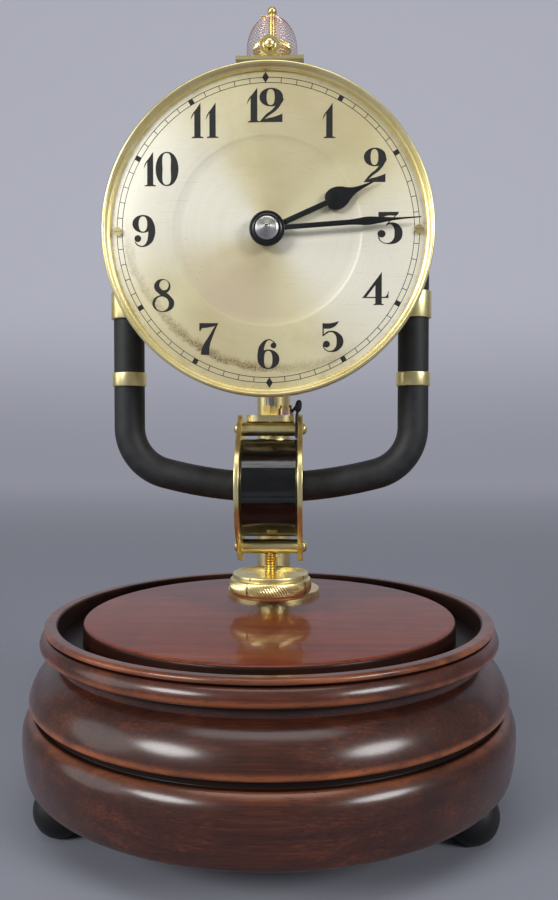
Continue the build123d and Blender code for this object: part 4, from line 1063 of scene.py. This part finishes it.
@dataclass
class MagnetFrame(Assembly):
    """Collars and rings on the arms of the bent bar. A ring or collar is a radius and two heights."""

    arm_x: float = 53.4
    arm_y: float = BAR_Y
    bore: float = 5.75
    ring: Place = (6.35, 149.4, 154.6)
    collar: Place = (6.65, 174.5, 184.5)
    lug_heights: Point = (176.5, 182.5)
    lug_depths: Point = (11.15, 16.0)
    lug_half: float = 3.0

    def sleeve(self, radius: float, low: float, high: float, side: int) -> Turning:
        """Turn one sleeve with rounded edges.

        Args:
            radius: Its radius.
            low: Its lower end.
            high: Its upper end.
            side: -1 on the left arm and 1 on the right.

        Returns:
            The sleeve in its place.
        """
        made = Turning("sleeve").start(self.bore, low).to((radius, low)).ease(0.35)
        made.to((radius, high)).ease(0.35).to((self.bore, high)).close().turn(64)
        return made.stand(Axis.UP, (side * self.arm_x, self.arm_y, 0))

    def build(self) -> None:
        """Build the rings and the collars with their lugs."""
        rings, collars = Piece("arm_bands"), Piece("frame_collars")
        for side in (-1, 1):
            rings.absorb(self.sleeve(*self.ring, side))
            across = (side * self.arm_x - self.lug_half, side * self.arm_x + self.lug_half)
            lug = block("lug", *zip(across, self.lug_depths, self.lug_heights), edge=0.3)
            collars.absorb(self.sleeve(*self.collar, side), lug)
        rings.finish(self.finishes["pale_brass"], "stand", ["arm_rings"], "pale_brass")
        collars.finish(self.finishes["pale_brass"], "stand", ["arm_collars"], "pale_brass")


@dataclass
class Numeral:
    """One hour's figures on the dial."""

    figures: str
    across: float
    up: float
    width: float
    height: float


class Figures:
    """Drawings of the figures, 10 high. A figure is a list of shapes, and a shape an outline and its holes."""

    oval = Outline.oval
    one = [["3.05,10 3.05,.5 3.9,.25 3.9,0 .35,0 .35,.25 1.15,.5 1.15,7.1 0,5.1 .55,6.75~ 1.7,8.2~"]]
    drawings: Dict[str, List[List[str]]] = {
        "0": [[oval(3.64, 5, 3.64, 5), oval(3.5, 5, 1.3, 4.65)]],
        "1": one,
        "2": [
            [oval(3.42, 7.23, 3.35, 2.69), oval(3.26, 7.23, 1.16, 2.3)],
            ["6.77,7~ 6.15,5.1~ 4.8,3.4~ 2.7,1.85~ .58,0 0,0 1.9,2.23~ 3.85,3.8~ 4.8,5.1~ 5,6.6"],
            ["0,0 6.6,0 6.6,2.4 4.2,1.54~ 2.3,1.1~ 1,.6~"],
        ],
        "3": [
            [".6,10 6.45,10 6,9.1~ 3.5,8.9~ 1.1,8.2 .6,7.6"],
            ["6.45,10 6,9.2 3.4,6.35 2.9,6.35 5.7,9.2"],
            [
                "2.6,5.9 3.6,6.6~ 4.9,6.75~ 6.6,5.8~ 7.5,3.2~ 6.5,.9~ 3.6,.05~ 1.2,.9~ .35,2.6 "
                ".75,2.3 1.6,.9~ 3.5,.45~ 4.9,1.6~ 5.2,3.3~ 4.9,5.3~ 3.9,6.2~ 2.9,5.75"
            ],
            [oval(1.5, 3.25, 1.15, 1.15)],
        ],
        "4": [
            ["5.7,10.1 5.7,.45 6.3,.25 6.3,0 3.2,0 3.2,.25 3.75,.45 3.75,7.4"],
            ["4.2,8.1 -.2,2.26 -.2,2.1 .95,2.4 4.6,7.2"],
            ["-.2,2.5 -.2,2.14 7.7,2.14 7.7,2.5"],
            ["7.8,4.4 7.75,2.2 6.2,2.3 7.2,2.9~"],
        ],
        "5": [
            [".4,9.3 1.8,9.25~ 3.6,9.45~ 5.6,10 4.6,8.6~ 3.3,7.75~ 1.8,7.5~ .4,7.6"],
            [".3,9.3 .72,9.3 .72,5.4 .3,5"],
            [
                ".35,5 1.3,6.3~ 2.95,6.85~ 5.3,6.2~ 6.96,3.5~ 5.6,.7~ 3.2,-.1~ 1,.7~ .25,2.3 "
                ".7,2 1.3,.85~ 3,.35~ 4.4,1.4~ 4.8,3.4~ 4.3,5.6~ 3,6.4~ 1.5,5.8~ .72,5.2"
            ],
            [oval(1.56, 2.5, 1.1, 1.1)],
        ],
        "6": [
            [oval(3.79, 3.28, 3.62, 3.28), oval(3.73, 3.22, 1.37, 2.88)],
            [".17,3.3 .17,5~ 1.1,8.2~ 3.8,10~ 5.4,9.4~ 6.4,8.3 5.9,8.2 5,9.3~ 3.8,9.6~ 2.7,8.2~ 2.27,5~ 2.4,3.3"],
            [oval(5.46, 7.86, 0.95, 0.95)],
        ],
        "7": [
            [".2,10 6.15,10 5,9.15~ 2.6,8.6~ .95,8.3~ .55,7.6 .2,7.6"],
            ["6.15,10 4.6,6.35~ 3.55,3.4~ 3.3,.3 .6,.4 1.15,2.7~ 3.4,6.35~ 5.1,9.1"],
        ],
        "8": [
            [oval(2.9, 7.6, 2.6, 2.25), oval(3.45, 8, 1.5, 1.55)],
            [oval(3.2, 2.5, 3.5, 2.6), oval(2.75, 2.4, 2.23, 2.2)],
            [".5,7.2 1.95,7.6 3,6.4~ 4.8,5.3~ 6.4,3.6 5,3 4.4,3.9~ 2.5,4.9~ 1.1,6.1~"],
        ],
        "9": [
            [oval(3.5, 7.25, 3.34, 2.75), oval(3.5, 7.2, 1.38, 2.35)],
            [
                "4.9,9.6 6.5,8.3~ 7.4,5.5~ 7,2.8~ 6,1.2~ 3.4,.1~ 1.5,.7~ .75,1.8 "
                "1.15,1.7 1.9,.9~ 3.4,.5~ 4.6,1.6~ 5.1,3.4~ 5.2,5.5~ 4.9,8"
            ],
            [oval(1.84, 2.7, 1.07, 1.07)],
        ],
    }
    spacing = {"12": (0.2, 3.8), "10": (-0.7, 3.15), "11": (-0.25, 4.35)}
    layer_rise = 0.2

    @classmethod
    def draw(cls, numeral: Numeral, thickness: float) -> Piece:
        """Draw one numeral at its place and size on the dial.

        Args:
            numeral: The numeral.
            thickness: The paint's thickness.

        Returns:
            The numeral, flat, with its middle at its own place.
        """
        made = Piece(numeral.figures)
        starts = cls.spacing.get(numeral.figures, (0.0,))
        for figure, start in zip(numeral.figures, starts):
            for layer, shape in enumerate(cls.drawings[figure]):
                part = Piece(figure).take(Outline.filled(shape, thickness * (1 + cls.layer_rise * layer))).clean()
                made.absorb(part.carry((start, 0, 0)))
        spots = [vert.co for vert in made.mesh.verts]
        low = Vector((min(spot.x for spot in spots), min(spot.y for spot in spots), 0))
        high = Vector((max(spot.x for spot in spots), max(spot.y for spot in spots), 0))
        size = high - low
        made.carry(-(low + high) / 2)
        made.move(Matrix.Diagonal((numeral.width / size.x, numeral.height / size.y, 1, 1)))
        return made.carry((numeral.across, numeral.up, 0))


@dataclass
class Dial(Assembly):
    """Silvered dial with its printing, bezel and lugs."""

    centre: Place = DIAL_CENTRE
    front: float = 17.2
    paint: float = 0.03
    track: Point = (50.7, 52.5)
    line: float = 0.2
    lean: float = 0.7
    diamond: str = "0,-1.85 1.2,0 0,1.85 -1.2,0"
    diamond_minutes: Tuple[int, ...] = (0, 30)
    bare_minutes: Tuple[int, ...] = (15, 45)
    lug_across: Point = (50.0, 55.8)
    lug_depths: Point = (-16.0, -13.5)
    lug_heights: Point = (198.1, 206.1)
    foot_places: Tuple[Point, ...] = ((0.0, 180.1), (-15.84, 217.94), (15.84, 217.94))
    numerals: Tuple[Numeral, ...] = (
        Numeral("12", -0.8, 43.1, 12.8, 11.8),
        Numeral("1", 21.2, 37.5, 4.5, 12.0),
        Numeral("2", 37.1, 22.2, 7.9, 11.7),
        Numeral("3", 42.3, 0.6, 8.6, 11.0),
        Numeral("4", 37.4, -20.1, 9.0, 11.4),
        Numeral("5", 22.7, -36.6, 7.3, 10.7),
        Numeral("6", 0.3, -42.6, 7.7, 10.4),
        Numeral("7", -20.5, -37.3, 6.6, 11.1),
        Numeral("8", -36.4, -22.1, 7.7, 11.5),
        Numeral("9", -43.1, 0.3, 8.0, 11.1),
        Numeral("10", -37.0, 21.6, 12.2, 11.8),
        Numeral("11", -21.8, 38.1, 9.7, 12.1),
    )

    def plate(self) -> None:
        """Turn the dial, with its dished middle."""
        made = Turning("dial_plate").start(3.2, 16.0).to((3.2, 16.72)).ease(0.15)
        made.arc((18.0, 16.79), (32.2, 17.0), 10).arc((32.6, 17.1), (33.3, 17.2), 5)
        made.to((55.5, 17.2)).ease(0.12).to((55.5, 16.0)).close().turn(192)
        made.stand(Axis.DIAL, self.centre)
        for across, up in self.foot_places:
            foot = Turning("dial_foot").start(0, 11.0).to((1.5, 11.0)).ease(0.2).to((1.5, 16.05), (0, 16.05)).turn(24)
            made.absorb(foot.stand(Axis.DIAL, (across, 0, up)))
        made.finish(self.finishes["silvered_dial"], "stand", ["dial"], "silvered_dial")

    def bezel(self) -> None:
        """Turn the half-round bezel with its sloping inner lip."""
        made = Turning("dial_bezel").start(55.55, 11.5).to((57.5, 11.5)).ease(0.3)
        made.to((57.5, 19.3)).arc((56.95, 20.05), (56.25, 19.9), 12).to((55.5, 18.7)).ease(0.15)
        made.to((54.9, 18.5)).ease(0.15).to((54.65, 17.25), (55.55, 17.25)).close().turn(240)
        made.stand(Axis.DIAL, self.centre)
        for side in (-1, 1):
            across = sorted(side * end for end in self.lug_across)
            made.absorb(block("lug", *zip(across, self.lug_depths, self.lug_heights), edge=0.3))
        made.finish(self.finishes["pale_brass"], "stand", ["bezel"], "pale_brass")

    def ring(self, radius: float) -> Turning:
        """Draw one printed line round the dial.

        Args:
            radius: Its radius.

        Returns:
            The line, flat.
        """
        half, low = self.line / 2, -self.paint / 2
        made = Turning("line").start(radius - half, low).to((radius + half, low), (radius + half, -low))
        return made.to((radius - half, -low)).close().turn(240)

    def mark(self, bearing: float, outline: str, radius: float) -> Piece:
        """Return one printed mark of the minute track.

        Args:
            bearing: Its bearing from 12, clockwise.
            outline: Its outline round its own middle.
            radius: How far out its middle is.

        Returns:
            The mark.
        """
        made = Piece("mark").take(Outline.filled([outline], self.paint))
        return made.carry((0, radius, 0)).swing(-bearing, "Z")

    def printing(self) -> None:
        """Print the minute track, its marks and the numerals."""
        made = Piece("dial_printing").absorb(*(self.ring(radius) for radius in self.track))
        inner, outer = self.track
        tick, square = Outline.box(0.11, (outer - inner) / 2), Outline.box(0.85, 0.9)
        for minute in range(60):
            if minute in self.bare_minutes:
                continue
            if minute in self.diamond_minutes:
                shape, radius = self.diamond, outer
            else:
                shape, radius = tick if minute % 5 else square, (inner + outer) / 2
            made.absorb(self.mark(minute * 6 - self.lean, shape, radius))
        for numeral in self.numerals:
            made.absorb(Figures.draw(numeral, self.paint))
        made.carry((0, 0, self.front + self.paint)).stand(Axis.DIAL, self.centre)
        made.finish(self.finishes["dial_black"], "stand")

    def build(self) -> None:
        """Build the dial."""
        self.plate()
        self.bezel()
        self.printing()


@dataclass
class Pointer:
    """One hand: its outline pointing up, its bearing clockwise from 12, its middle plane and its boss."""

    name: str
    node: str
    body: str
    outline: str
    bearing: float
    middle: float
    boss: float
    bore: float


@dataclass
class Hands(Assembly):
    """Blackened hands, their collar and the bright nut."""

    centre: Place = DIAL_CENTRE
    half: float = 0.25
    edge: float = 0.11
    pointers: Tuple[Pointer, ...] = (
        Pointer(
            "hour_pointer",
            "hour_hand",
            "hour_work",
            "-.95,0 -.95,22.2 -2.3,22.6~ -3.5,24.2~ -3.85,26.4~ -3.2,28.8~ -1.95,30.9~ -1.05,33.1~ -.5,36.6~ -.13,41 "
            ".13,41 .5,36.6~ 1.05,33.1~ 1.95,30.9~ 3.2,28.8~ 3.85,26.4~ 3.5,24.2~ 2.3,22.6~ .95,22.2 .95,0",
            bearing=66.2,
            middle=18.65,
            boss=4.2,
            bore=2.3,
        ),
        Pointer(
            "minute_pointer",
            "minute_hand",
            "minute_work",
            "-.85,0 -.88,28.2 -1.05,30.6~ -1.4,34.2~ -1.05,38.6~ -.5,43.4~ -.31,46.4 -.16,52.7 "
            ".16,52.7 .31,46.4 .5,43.4~ 1.05,38.6~ 1.4,34.2~ 1.05,30.6~ .88,28.2 .85,0",
            bearing=86.1,
            middle=20.35,
            boss=5.0,
            bore=1.5,
        ),
    )

    def hand(self, pointer: Pointer) -> None:
        """Cut one hand.

        Args:
            pointer: The hand.
        """
        made = Piece(pointer.name).take(Outline.filled([pointer.outline], 2 * self.half, self.edge))
        hub = Turning("boss").start(pointer.bore, -self.half).to((pointer.boss, -self.half)).ease(0.1)
        hub.to((pointer.boss, self.half)).ease(0.1).to((pointer.bore, self.half)).close().turn(48)
        made.swing(-pointer.bearing, "Z").absorb(hub).carry((0, 0, pointer.middle))
        made.clean().stand(Axis.DIAL, self.centre)
        made.finish(self.finishes["blued_steel"], pointer.body, [pointer.node], "blued_steel")

    def build(self) -> None:
        """Build the hands, the collar and the nut."""
        for pointer in self.pointers:
            self.hand(pointer)
        black = self.finishes["blued_steel"]
        collar = Turning("hand_collar").start(1.0, 20.6).to((6.1, 20.6)).ease(0.12).to((6.1, 20.95)).ease(0.15)
        collar.to((5.45, 21.0), (5.4, 20.88), (5.2, 20.88), (5.15, 21.05)).ease(0.05).to((4.7, 21.3)).ease(0.15)
        collar.to((1.0, 21.3)).close().turn(72)
        collar.stand(Axis.DIAL, self.centre).finish(black, "minute_work", ["hand_collet"], "blued_steel")
        nut = Turning("hand_button").start(0, 21.3).to((3.95, 21.3), (4.05, 21.45)).ease(0.1)
        nut.to((4.05, 22.0)).ease(0.25).to((3.4, 22.35)).ease(0.15).arc((2.0, 23.5), (0.85, 24.35), 8)
        nut.arc((0.7, 24.5), (0.5, 24.4), 4).to((0.3, 24.2), (0, 24.15)).turn(64)
        nut.stand(Axis.DIAL, self.centre).finish(self.finishes["steel"], "minute_work", ["hand_nut"], "steel")


@dataclass
class Bob(Assembly):
    """Wrapped coil between its cheeks, their screws, and the lead."""

    centre: Place = (0.0, BAR_Y, 111.4)
    radius: float = 18.55
    half_width: float = 10.38
    rows: int = 30
    steps: int = 260
    tube_radius: float = 10.3
    corner: Point = (0.4, 0.3)
    laps: Tuple[float, ...] = (27.5, -7.5)
    lap_depth: float = 0.14
    crest_from: float = 0.25
    crease_heights: Point = (0.02, 0.16)
    fold_height: float = 0.07
    cheek_radius: float = 21.3
    cheek_faces: Point = (10.4, 12.2)
    end_radius: float = 4.0
    end_rise: float = 23.5
    end_fall: float = 23.9
    bore: float = 9.3
    pillar_heights: Point = (133.4, 89.0)
    lead_route: Tuple[Place, ...] = (
        (8.1, 2.8, 139.75),
        (9.0, 2.5, 140.8),
        (10.2, 2.1, 142.6),
        (10.8, 1.9, 142.4),
        (10.5, 1.9, 140.6),
        (9.9, 1.9, 138.6),
        (9.85, 1.9, 136.0),
        (9.85, 1.9, 129.9),
    )
    sleeve_at: Place = (10.2, 1.95, 139.7)
    sleeve_lean: float = 9.0

    def swell(self, across: float, angle: float) -> float:
        """Return how far the tape stands out at a place.

        Args:
            across: The place's distance from the coil's middle.
            angle: Its angle over the front, in radians.

        Returns:
            The height over the plain wrap.
        """
        crest = max(0.0, math.sin(angle - self.crest_from)) ** 3
        creases = noise.fractal(Vector((across * 0.16, angle * 6.0, 1.7)), 1.0, 2.0, 4)
        folds = noise.fractal(Vector((across * 0.5, angle * 17.0, 4.2)), 1.0, 2.0, 3)
        flat, crumpled = self.crease_heights
        height = creases * (flat + crumpled * crest) + folds * self.fold_height * crest
        for lap in self.laps:
            past = (angle - math.radians(lap)) / FULL_TURN % 1.0
            height -= self.lap_depth * (1 - past) * min(1.0, past * self.steps)
        return height

    def wrap(self) -> None:
        """Turn the tape round the coil, with its laps and creases."""
        inset, drop = self.corner
        low, high = drop - self.half_width, self.half_width - drop
        made = Turning("coil_wrap").start(self.tube_radius, -self.half_width)
        made.to((self.radius - inset, -self.half_width), (self.radius, low))
        for row in range(1, self.rows):
            made.to((self.radius, low + (high - low) * row / self.rows))
        made.to((self.radius, high), (self.radius - inset, self.half_width), (self.tube_radius, self.half_width))
        made.close().turn(self.steps)
        made.stand(Axis.SIDE, (0, 0, 0))
        for vert in made.mesh.verts:
            reach = math.hypot(vert.co.y, vert.co.z)
            if reach > self.radius - 1:
                share = 1 + self.swell(vert.co.x, math.atan2(vert.co.z, -vert.co.y)) / reach
                vert.co.y *= share
                vert.co.z *= share
        made.carry(self.centre)
        made.finish(self.finishes["black_wrap"], "pendulum", ["coil_winding"], "black_wrap", sharp=60)

    def round_end(self, height: float, radius: float, low: float, high: float) -> List[str]:
        """Return part of a circle of the cheek's outline.

        Args:
            height: How high the circle's middle is.
            radius: Its radius.
            low: The first bearing, anticlockwise in degrees.
            high: The last bearing.

        Returns:
            The places.
        """
        count = 8
        bearings = [math.radians(low + (high - low) * index / count) for index in range(count + 1)]
        return [f"{radius * math.cos(turn):.4f},{height + radius * math.sin(turn):.4f}~" for turn in bearings]

    def cheeks(self) -> None:
        """Cut both cheeks, drawn tight round the disc and its two rounded ends."""
        gap = self.cheek_radius - self.end_radius
        top = math.degrees(math.asin(gap / self.end_rise))
        low = math.degrees(math.asin(gap / self.end_fall))
        places = self.round_end(0, self.cheek_radius, low - 90, 90 - top)
        places += self.round_end(self.end_rise, self.end_radius, 90 - top, 90 + top)
        places += self.round_end(0, self.cheek_radius, 90 + top, 270 - low)
        places += self.round_end(-self.end_fall, self.end_radius, 270 - low, 270 + low)
        hole = Outline.oval(0, 0, self.bore, self.bore)
        made = Piece("pear_cheeks")
        inner, outer = self.cheek_faces
        for side in (-1, 1):
            plate = Piece("cheek").take(Outline.filled([" ".join(places), hole], outer - inner, 0.22))
            plate.swing(90, "X").swing(90, "Z")
            made.absorb(plate.carry((side * (inner + outer) / 2, 0, 0)))
        made.clean().carry(self.centre)
        made.finish(self.finishes["pale_brass"], "pendulum", ["coil_cheeks"], "pale_brass")

    def screws(self) -> None:
        """Turn the round heads of the four cheek screws."""
        made = Piece("round_head_screws")
        for height in self.pillar_heights:
            for side in (-1, 1):
                head = Turning("head").start(0, 0).to((2.2, 0), (2.2, 0.5)).ease(0.1)
                head.arc((1.5, 1.3), (0.4, 1.6), 6).to((0, 1.6)).turn(40).stand(Axis.SIDE, (0, 0, 0))
                head.move(Matrix.Diagonal((side, 1, 1, 1))).clean()
                made.absorb(head.carry((side * self.cheek_faces[1], self.centre[1], height)))
        made.finish(self.finishes["pale_brass"], "pendulum", ["cheek_screws"], "pale_brass")

    def lead(self) -> None:
        """Draw the lead and the black sleeve over its bend."""
        made = Piece("coil_wire").take(Outline.wire(self.lead_route, 0.5, 3)).clean()
        sleeve = Turning("sleeve").start(0, 4.6).arc((0.75, 4.2), (1.15, 3.2), 6).arc((1.3, 1.9), (1.05, 0.5), 6)
        sleeve.to((0.6, 0), (0, 0)).turn(28).swing(self.sleeve_lean, "Y")
        made.absorb(sleeve.carry(self.sleeve_at))
        made.finish(self.finishes["lead_cover"], "pendulum", ["coil_lead"], "lead_cover")

    def build(self) -> None:
        """Build the coil."""
        self.wrap()
        self.cheeks()
        self.screws()
        self.lead()


@dataclass
class RatingNut(Assembly):
    """Knurled regulating nut with four scribed lines."""

    centre: Place = (0.0, BAR_Y, 0.0)
    steps: int = 368
    ridges: int = 92
    slant: float = 0.042
    depth: float = 0.42
    band: Point = (72.1, 77.3)
    band_rows: int = 16
    bulge: float = 0.85
    radius: float = 15.6
    plain_radius: float = 14.72
    line_proud: float = 0.03
    line_bearings: Tuple[float, ...] = (-122.0, -32.0, 58.0, 148.0)

    def side(self, radius: float, share: float = 1.0) -> List[Point]:
        """Return the places up the bulging band.

        Args:
            radius: The band's largest radius.
            share: How much of the band's height is used.

        Returns:
            Radii and heights, from the lowest up.
        """
        low, high = self.band
        rows = [share * (2 * row / self.band_rows - 1) for row in range(self.band_rows + 1)]
        return [
            (radius - self.bulge * (1 - math.sqrt(1 - lift * lift)), (low + high + lift * (high - low)) / 2)
            for lift in rows
        ]

    def build(self) -> None:
        """Build the nut and its lines."""
        low, high = self.band
        middle, half = (low + high) / 2, (high - low) / 2
        made = Turning("regulating_nut").start(2.31, 70.9).to((14.3, 70.9)).ease(0.3).to((14.5, 71.9)).ease(0.1)
        made.to(*self.side(self.radius)).to((14.1, 77.45)).ease(0.1).to((14.1, 77.75)).ease(0.1)
        made.to((14.35, 77.8)).ease(0.1).to((14.2, 79.2)).ease(0.3)
        made.to((13.4, 79.2), (13.3, 79.1), (2.31, 79.1)).close().turn(self.steps)
        for vert in made.mesh.verts:
            lift = (vert.co.z - middle) / half
            reach = math.hypot(vert.co.x, vert.co.y)
            if abs(lift) < 0.99 and reach > self.plain_radius:
                angle = math.atan2(vert.co.y, vert.co.x) - self.slant * (high - vert.co.z)
                cut = 1 - self.depth * valley(angle, self.ridges) * (1 - lift**4) / reach
                vert.co.x *= cut
                vert.co.y *= cut
        made.stand(Axis.UP, self.centre)
        made.finish(self.finishes["pale_brass"], "rating_nut", ["rating_nut"], "pale_brass", sharp=45)
        lines = Piece("nut_index_lines")
        for bearing in self.line_bearings:
            line = Turning("line").start(14.0, 72.4).to(*self.side(self.radius + self.line_proud, 0.9))
            line.to((14.0, 77.0)).close().turn(2, math.radians(1.3))
            upper = Turning("line").start(13.6, 77.8).to((14.38, 77.85), (14.24, 79.0), (13.6, 79.0)).close()
            upper.turn(2, math.radians(1.5)).swing(2.4, "Z")
            lines.absorb(line.absorb(upper).swing(bearing, "Z"))
        lines.stand(Axis.UP, self.centre).finish(self.finishes["dial_black"], "rating_nut")


@dataclass
class Top(Assembly):
    """Knurled thumb nut and the copper beehive on the bridge."""

    centre: Place = (0.0, 20.5, 0.0)
    head_radius: float = 7.5
    ridges: int = 56
    ridge_depth: float = 0.26
    wire_radius: float = 0.1
    waist: float = 280.9
    belly: float = 10.0
    foot_radius: float = 8.2
    foot_height: float = 269.65
    crown_height: float = 12.6
    crown_share: float = 0.2
    lower_turns: int = 11
    upper_turns: int = 15
    points_per_turn: int = 16

    def thumb_nut(self) -> None:
        """Turn the thumb nut and cut its straight knurl."""
        head = self.head_radius
        made = Turning("knurled_thumb_nut").start(1.35, 280.0).to((head - 0.5, 280.0)).ease(0.2)
        made.to((head, 280.4), (head, 281.35), (head, 282.3), (head - 0.5, 282.7)).ease(0.2)
        made.to((3.5, 282.7), (3.4, 282.9), (3.4, 283.9)).ease(0.25)
        made.to((1.35, 283.9)).close().turn(self.ridges * 4)
        for vert in made.mesh.verts:
            if vert.co.xy.length > head - 0.05:
                cut = 1 - self.ridge_depth * valley(math.atan2(vert.co.y, vert.co.x), self.ridges) / head
                vert.co.x *= cut
                vert.co.y *= cut
        made.stand(Axis.UP, self.centre)
        made.finish(self.finishes["pale_brass"], "thumb_nut", ["thumb_nut"], "pale_brass", sharp=45)

    def beehive_point(self, turns: float) -> Place:
        """Return a place on the beehive's wire.

        Args:
            turns: Turns from its foot.

        Returns:
            The place.
        """
        foot_angle = math.acos(self.foot_radius / self.belly)
        if turns < self.lower_turns:
            rise = foot_angle * (turns / self.lower_turns - 1)
            height = (self.waist - self.foot_height) / math.sin(foot_angle)
        else:
            rise = math.acos(self.crown_share) * (turns - self.lower_turns) / self.upper_turns
            height = self.crown_height
        radius, angle = self.belly * math.cos(rise), turns * FULL_TURN
        across, along = radius * math.cos(angle), radius * math.sin(angle)
        return (self.centre[0] + across, self.centre[1] + along, self.waist + height * math.sin(rise))

    def beehive(self) -> None:
        """Wind the beehive."""
        count = (self.lower_turns + self.upper_turns) * self.points_per_turn
        route = [self.beehive_point(index / self.points_per_turn) for index in range(count + 1)]
        made = Piece("beehive_winding").take(Outline.wire(route, self.wire_radius, 1)).clean()
        made.finish(self.finishes["copper"], "stand", ["copper_beehive"], "copper", sharp=80)

    def build(self) -> None:
        """Build the top."""
        self.thumb_nut()
        self.beehive()


@dataclass
class Lamp:
    """One soft lamp."""

    name: str
    at: Place
    aim: Place
    size: Point
    watts: float


@dataclass
class Studio:
    """Grey-blue sweep, soft lamps, a plain world and the camera."""

    floor_colour: Colour = tint(138, 140, 151)
    wall_colour: Colour = tint(150, 154, 165)
    wall_glow: Colour = tint(154, 154, 163)
    world_colour: Colour = tint(196, 199, 206)
    world_strength: float = 0.3
    front: float = -2.0
    back: float = 1.6
    bend: float = 0.9
    height: float = 3.2
    half_width: float = 4.0
    fade_depths: Point = (0.2, 1.7)
    fade_heights: Point = (0.0, 0.6)
    camera_at: Place = (0.0138, -0.29632, 0.13464)
    tilt: float = 88.25
    yaw: float = 2.01
    lens_share: float = 800 / 900
    film: float = 36.0
    clip_start: float = 0.01
    lamps: Tuple[Lamp, ...] = (
        Lamp("left_lamp", (-0.806, -0.839, 0.651), (0, 0, 0.14), (0.58, 0.34), 8.6),
        Lamp("right_lamp", (0.925, -0.747, 0.612), (0, 0, 0.14), (0.56, 0.34), 7.6),
        Lamp("top_lamp", (0.0, -0.5, 1.3), (0, 0, 0.12), (1.3, 0.5), 4.4),
        Lamp("side_lamp", (-1.5, -0.35, 0.5), (0, 0, 0.1), (1.0, 0.9), 3.6),
    )

    def sweep(self) -> None:
        """Make the floor and backdrop as one sheet."""
        mesh = bmesh.new()
        start = mesh.verts.new((-self.half_width, self.front, 0))
        tip = bmesh.ops.extrude_vert_indiv(mesh, verts=[start])["verts"][0]
        tip.co = (-self.half_width, self.back, 0)
        centre = (-self.half_width, self.back, self.bend)
        swung = bmesh.ops.spin(mesh, geom=[tip], cent=centre, axis=(1, 0, 0), angle=math.pi / 2, steps=24)
        top = bmesh.ops.extrude_vert_indiv(mesh, verts=verts_of(swung["geom_last"])[:1])["verts"][0]
        top.co.z = self.height
        side = bmesh.ops.extrude_edge_only(mesh, edges=mesh.edges[:])["geom"]
        bmesh.ops.translate(mesh, vec=(self.half_width * 2, 0, 0), verts=verts_of(side))
        bmesh.ops.recalc_face_normals(mesh, faces=mesh.faces)
        data = bpy.data.meshes.new("sweep")
        mesh.to_mesh(data)
        mesh.free()
        data.shade_smooth()
        data.materials.append(self.paper())
        made = link("sweep", data)

    def paper(self) -> bpy.types.Material:
        """Mix the sweep's paper, which fades from the floor's colour to the wall's.

        Returns:
            The material.
        """
        mix = Recipe("sweep_paper")
        here = mix.place()
        grain = mix.noise(mix.place((300, 300, 300)), 3, 0.6)
        depth, height = mix.axis(here, 1).step(*self.fade_depths), mix.axis(here, 2).step(*self.fade_heights)
        rise = depth * 0.5 + height * 0.5
        return mix.surface(
            Base_Color=mix.blend(rise, self.floor_colour, self.wall_colour),
            Roughness=0.8 + grain * 0.1,
            Emission_Color=mix.blend(rise, (0, 0, 0), self.wall_glow),
            Emission_Strength=1.0,
        )

    def light(self) -> None:
        """Set the lamps and the world."""
        for lamp in self.lamps:
            data = bpy.data.lights.new(lamp.name, "AREA")
            data.shape = "ELLIPSE"
            data.size, data.size_y = lamp.size
            data.energy = lamp.watts
            made = link(lamp.name, data)
            made.location = lamp.at
            made.rotation_euler = (Vector(lamp.aim) - Vector(lamp.at)).to_track_quat("-Z", "Y").to_euler()
        world = bpy.data.worlds.new("studio")
        world.use_nodes = True
        sky = world.node_tree.nodes["Background"]
        sky.inputs["Color"].default_value = (*self.world_colour, 1)
        sky.inputs["Strength"].default_value = self.world_strength
        bpy.context.scene.world = world

    def camera(self) -> None:
        """Set the camera at the photograph's place."""
        data = bpy.data.cameras.new("camera")
        data.sensor_fit = "VERTICAL"
        data.sensor_height = self.film
        data.lens = self.lens_share * self.film
        data.clip_start = self.clip_start
        made = link("camera", data)
        made.location = self.camera_at
        made.rotation_euler = (math.radians(self.tilt), 0, math.radians(self.yaw))
        bpy.context.scene.camera = made

    def build(self) -> None:
        """Build the studio."""
        self.sweep()
        self.light()
        self.camera()
        bpy.context.scene.view_settings.view_transform = "Standard"


def main() -> None:
    """Build the clock's looks and the studio round it."""
    logging.basicConfig(level=logging.INFO, format="%(name)s: %(message)s")
    finishes = Finishes()
    finishes.dress_nodes()
    Studio().build()
    for assembly in (Wiring, Base, MagnetFrame, Dial, Hands, Bob, RatingNut, Top):
        assembly(finishes).build()


if __name__ == "__main__":
    main()
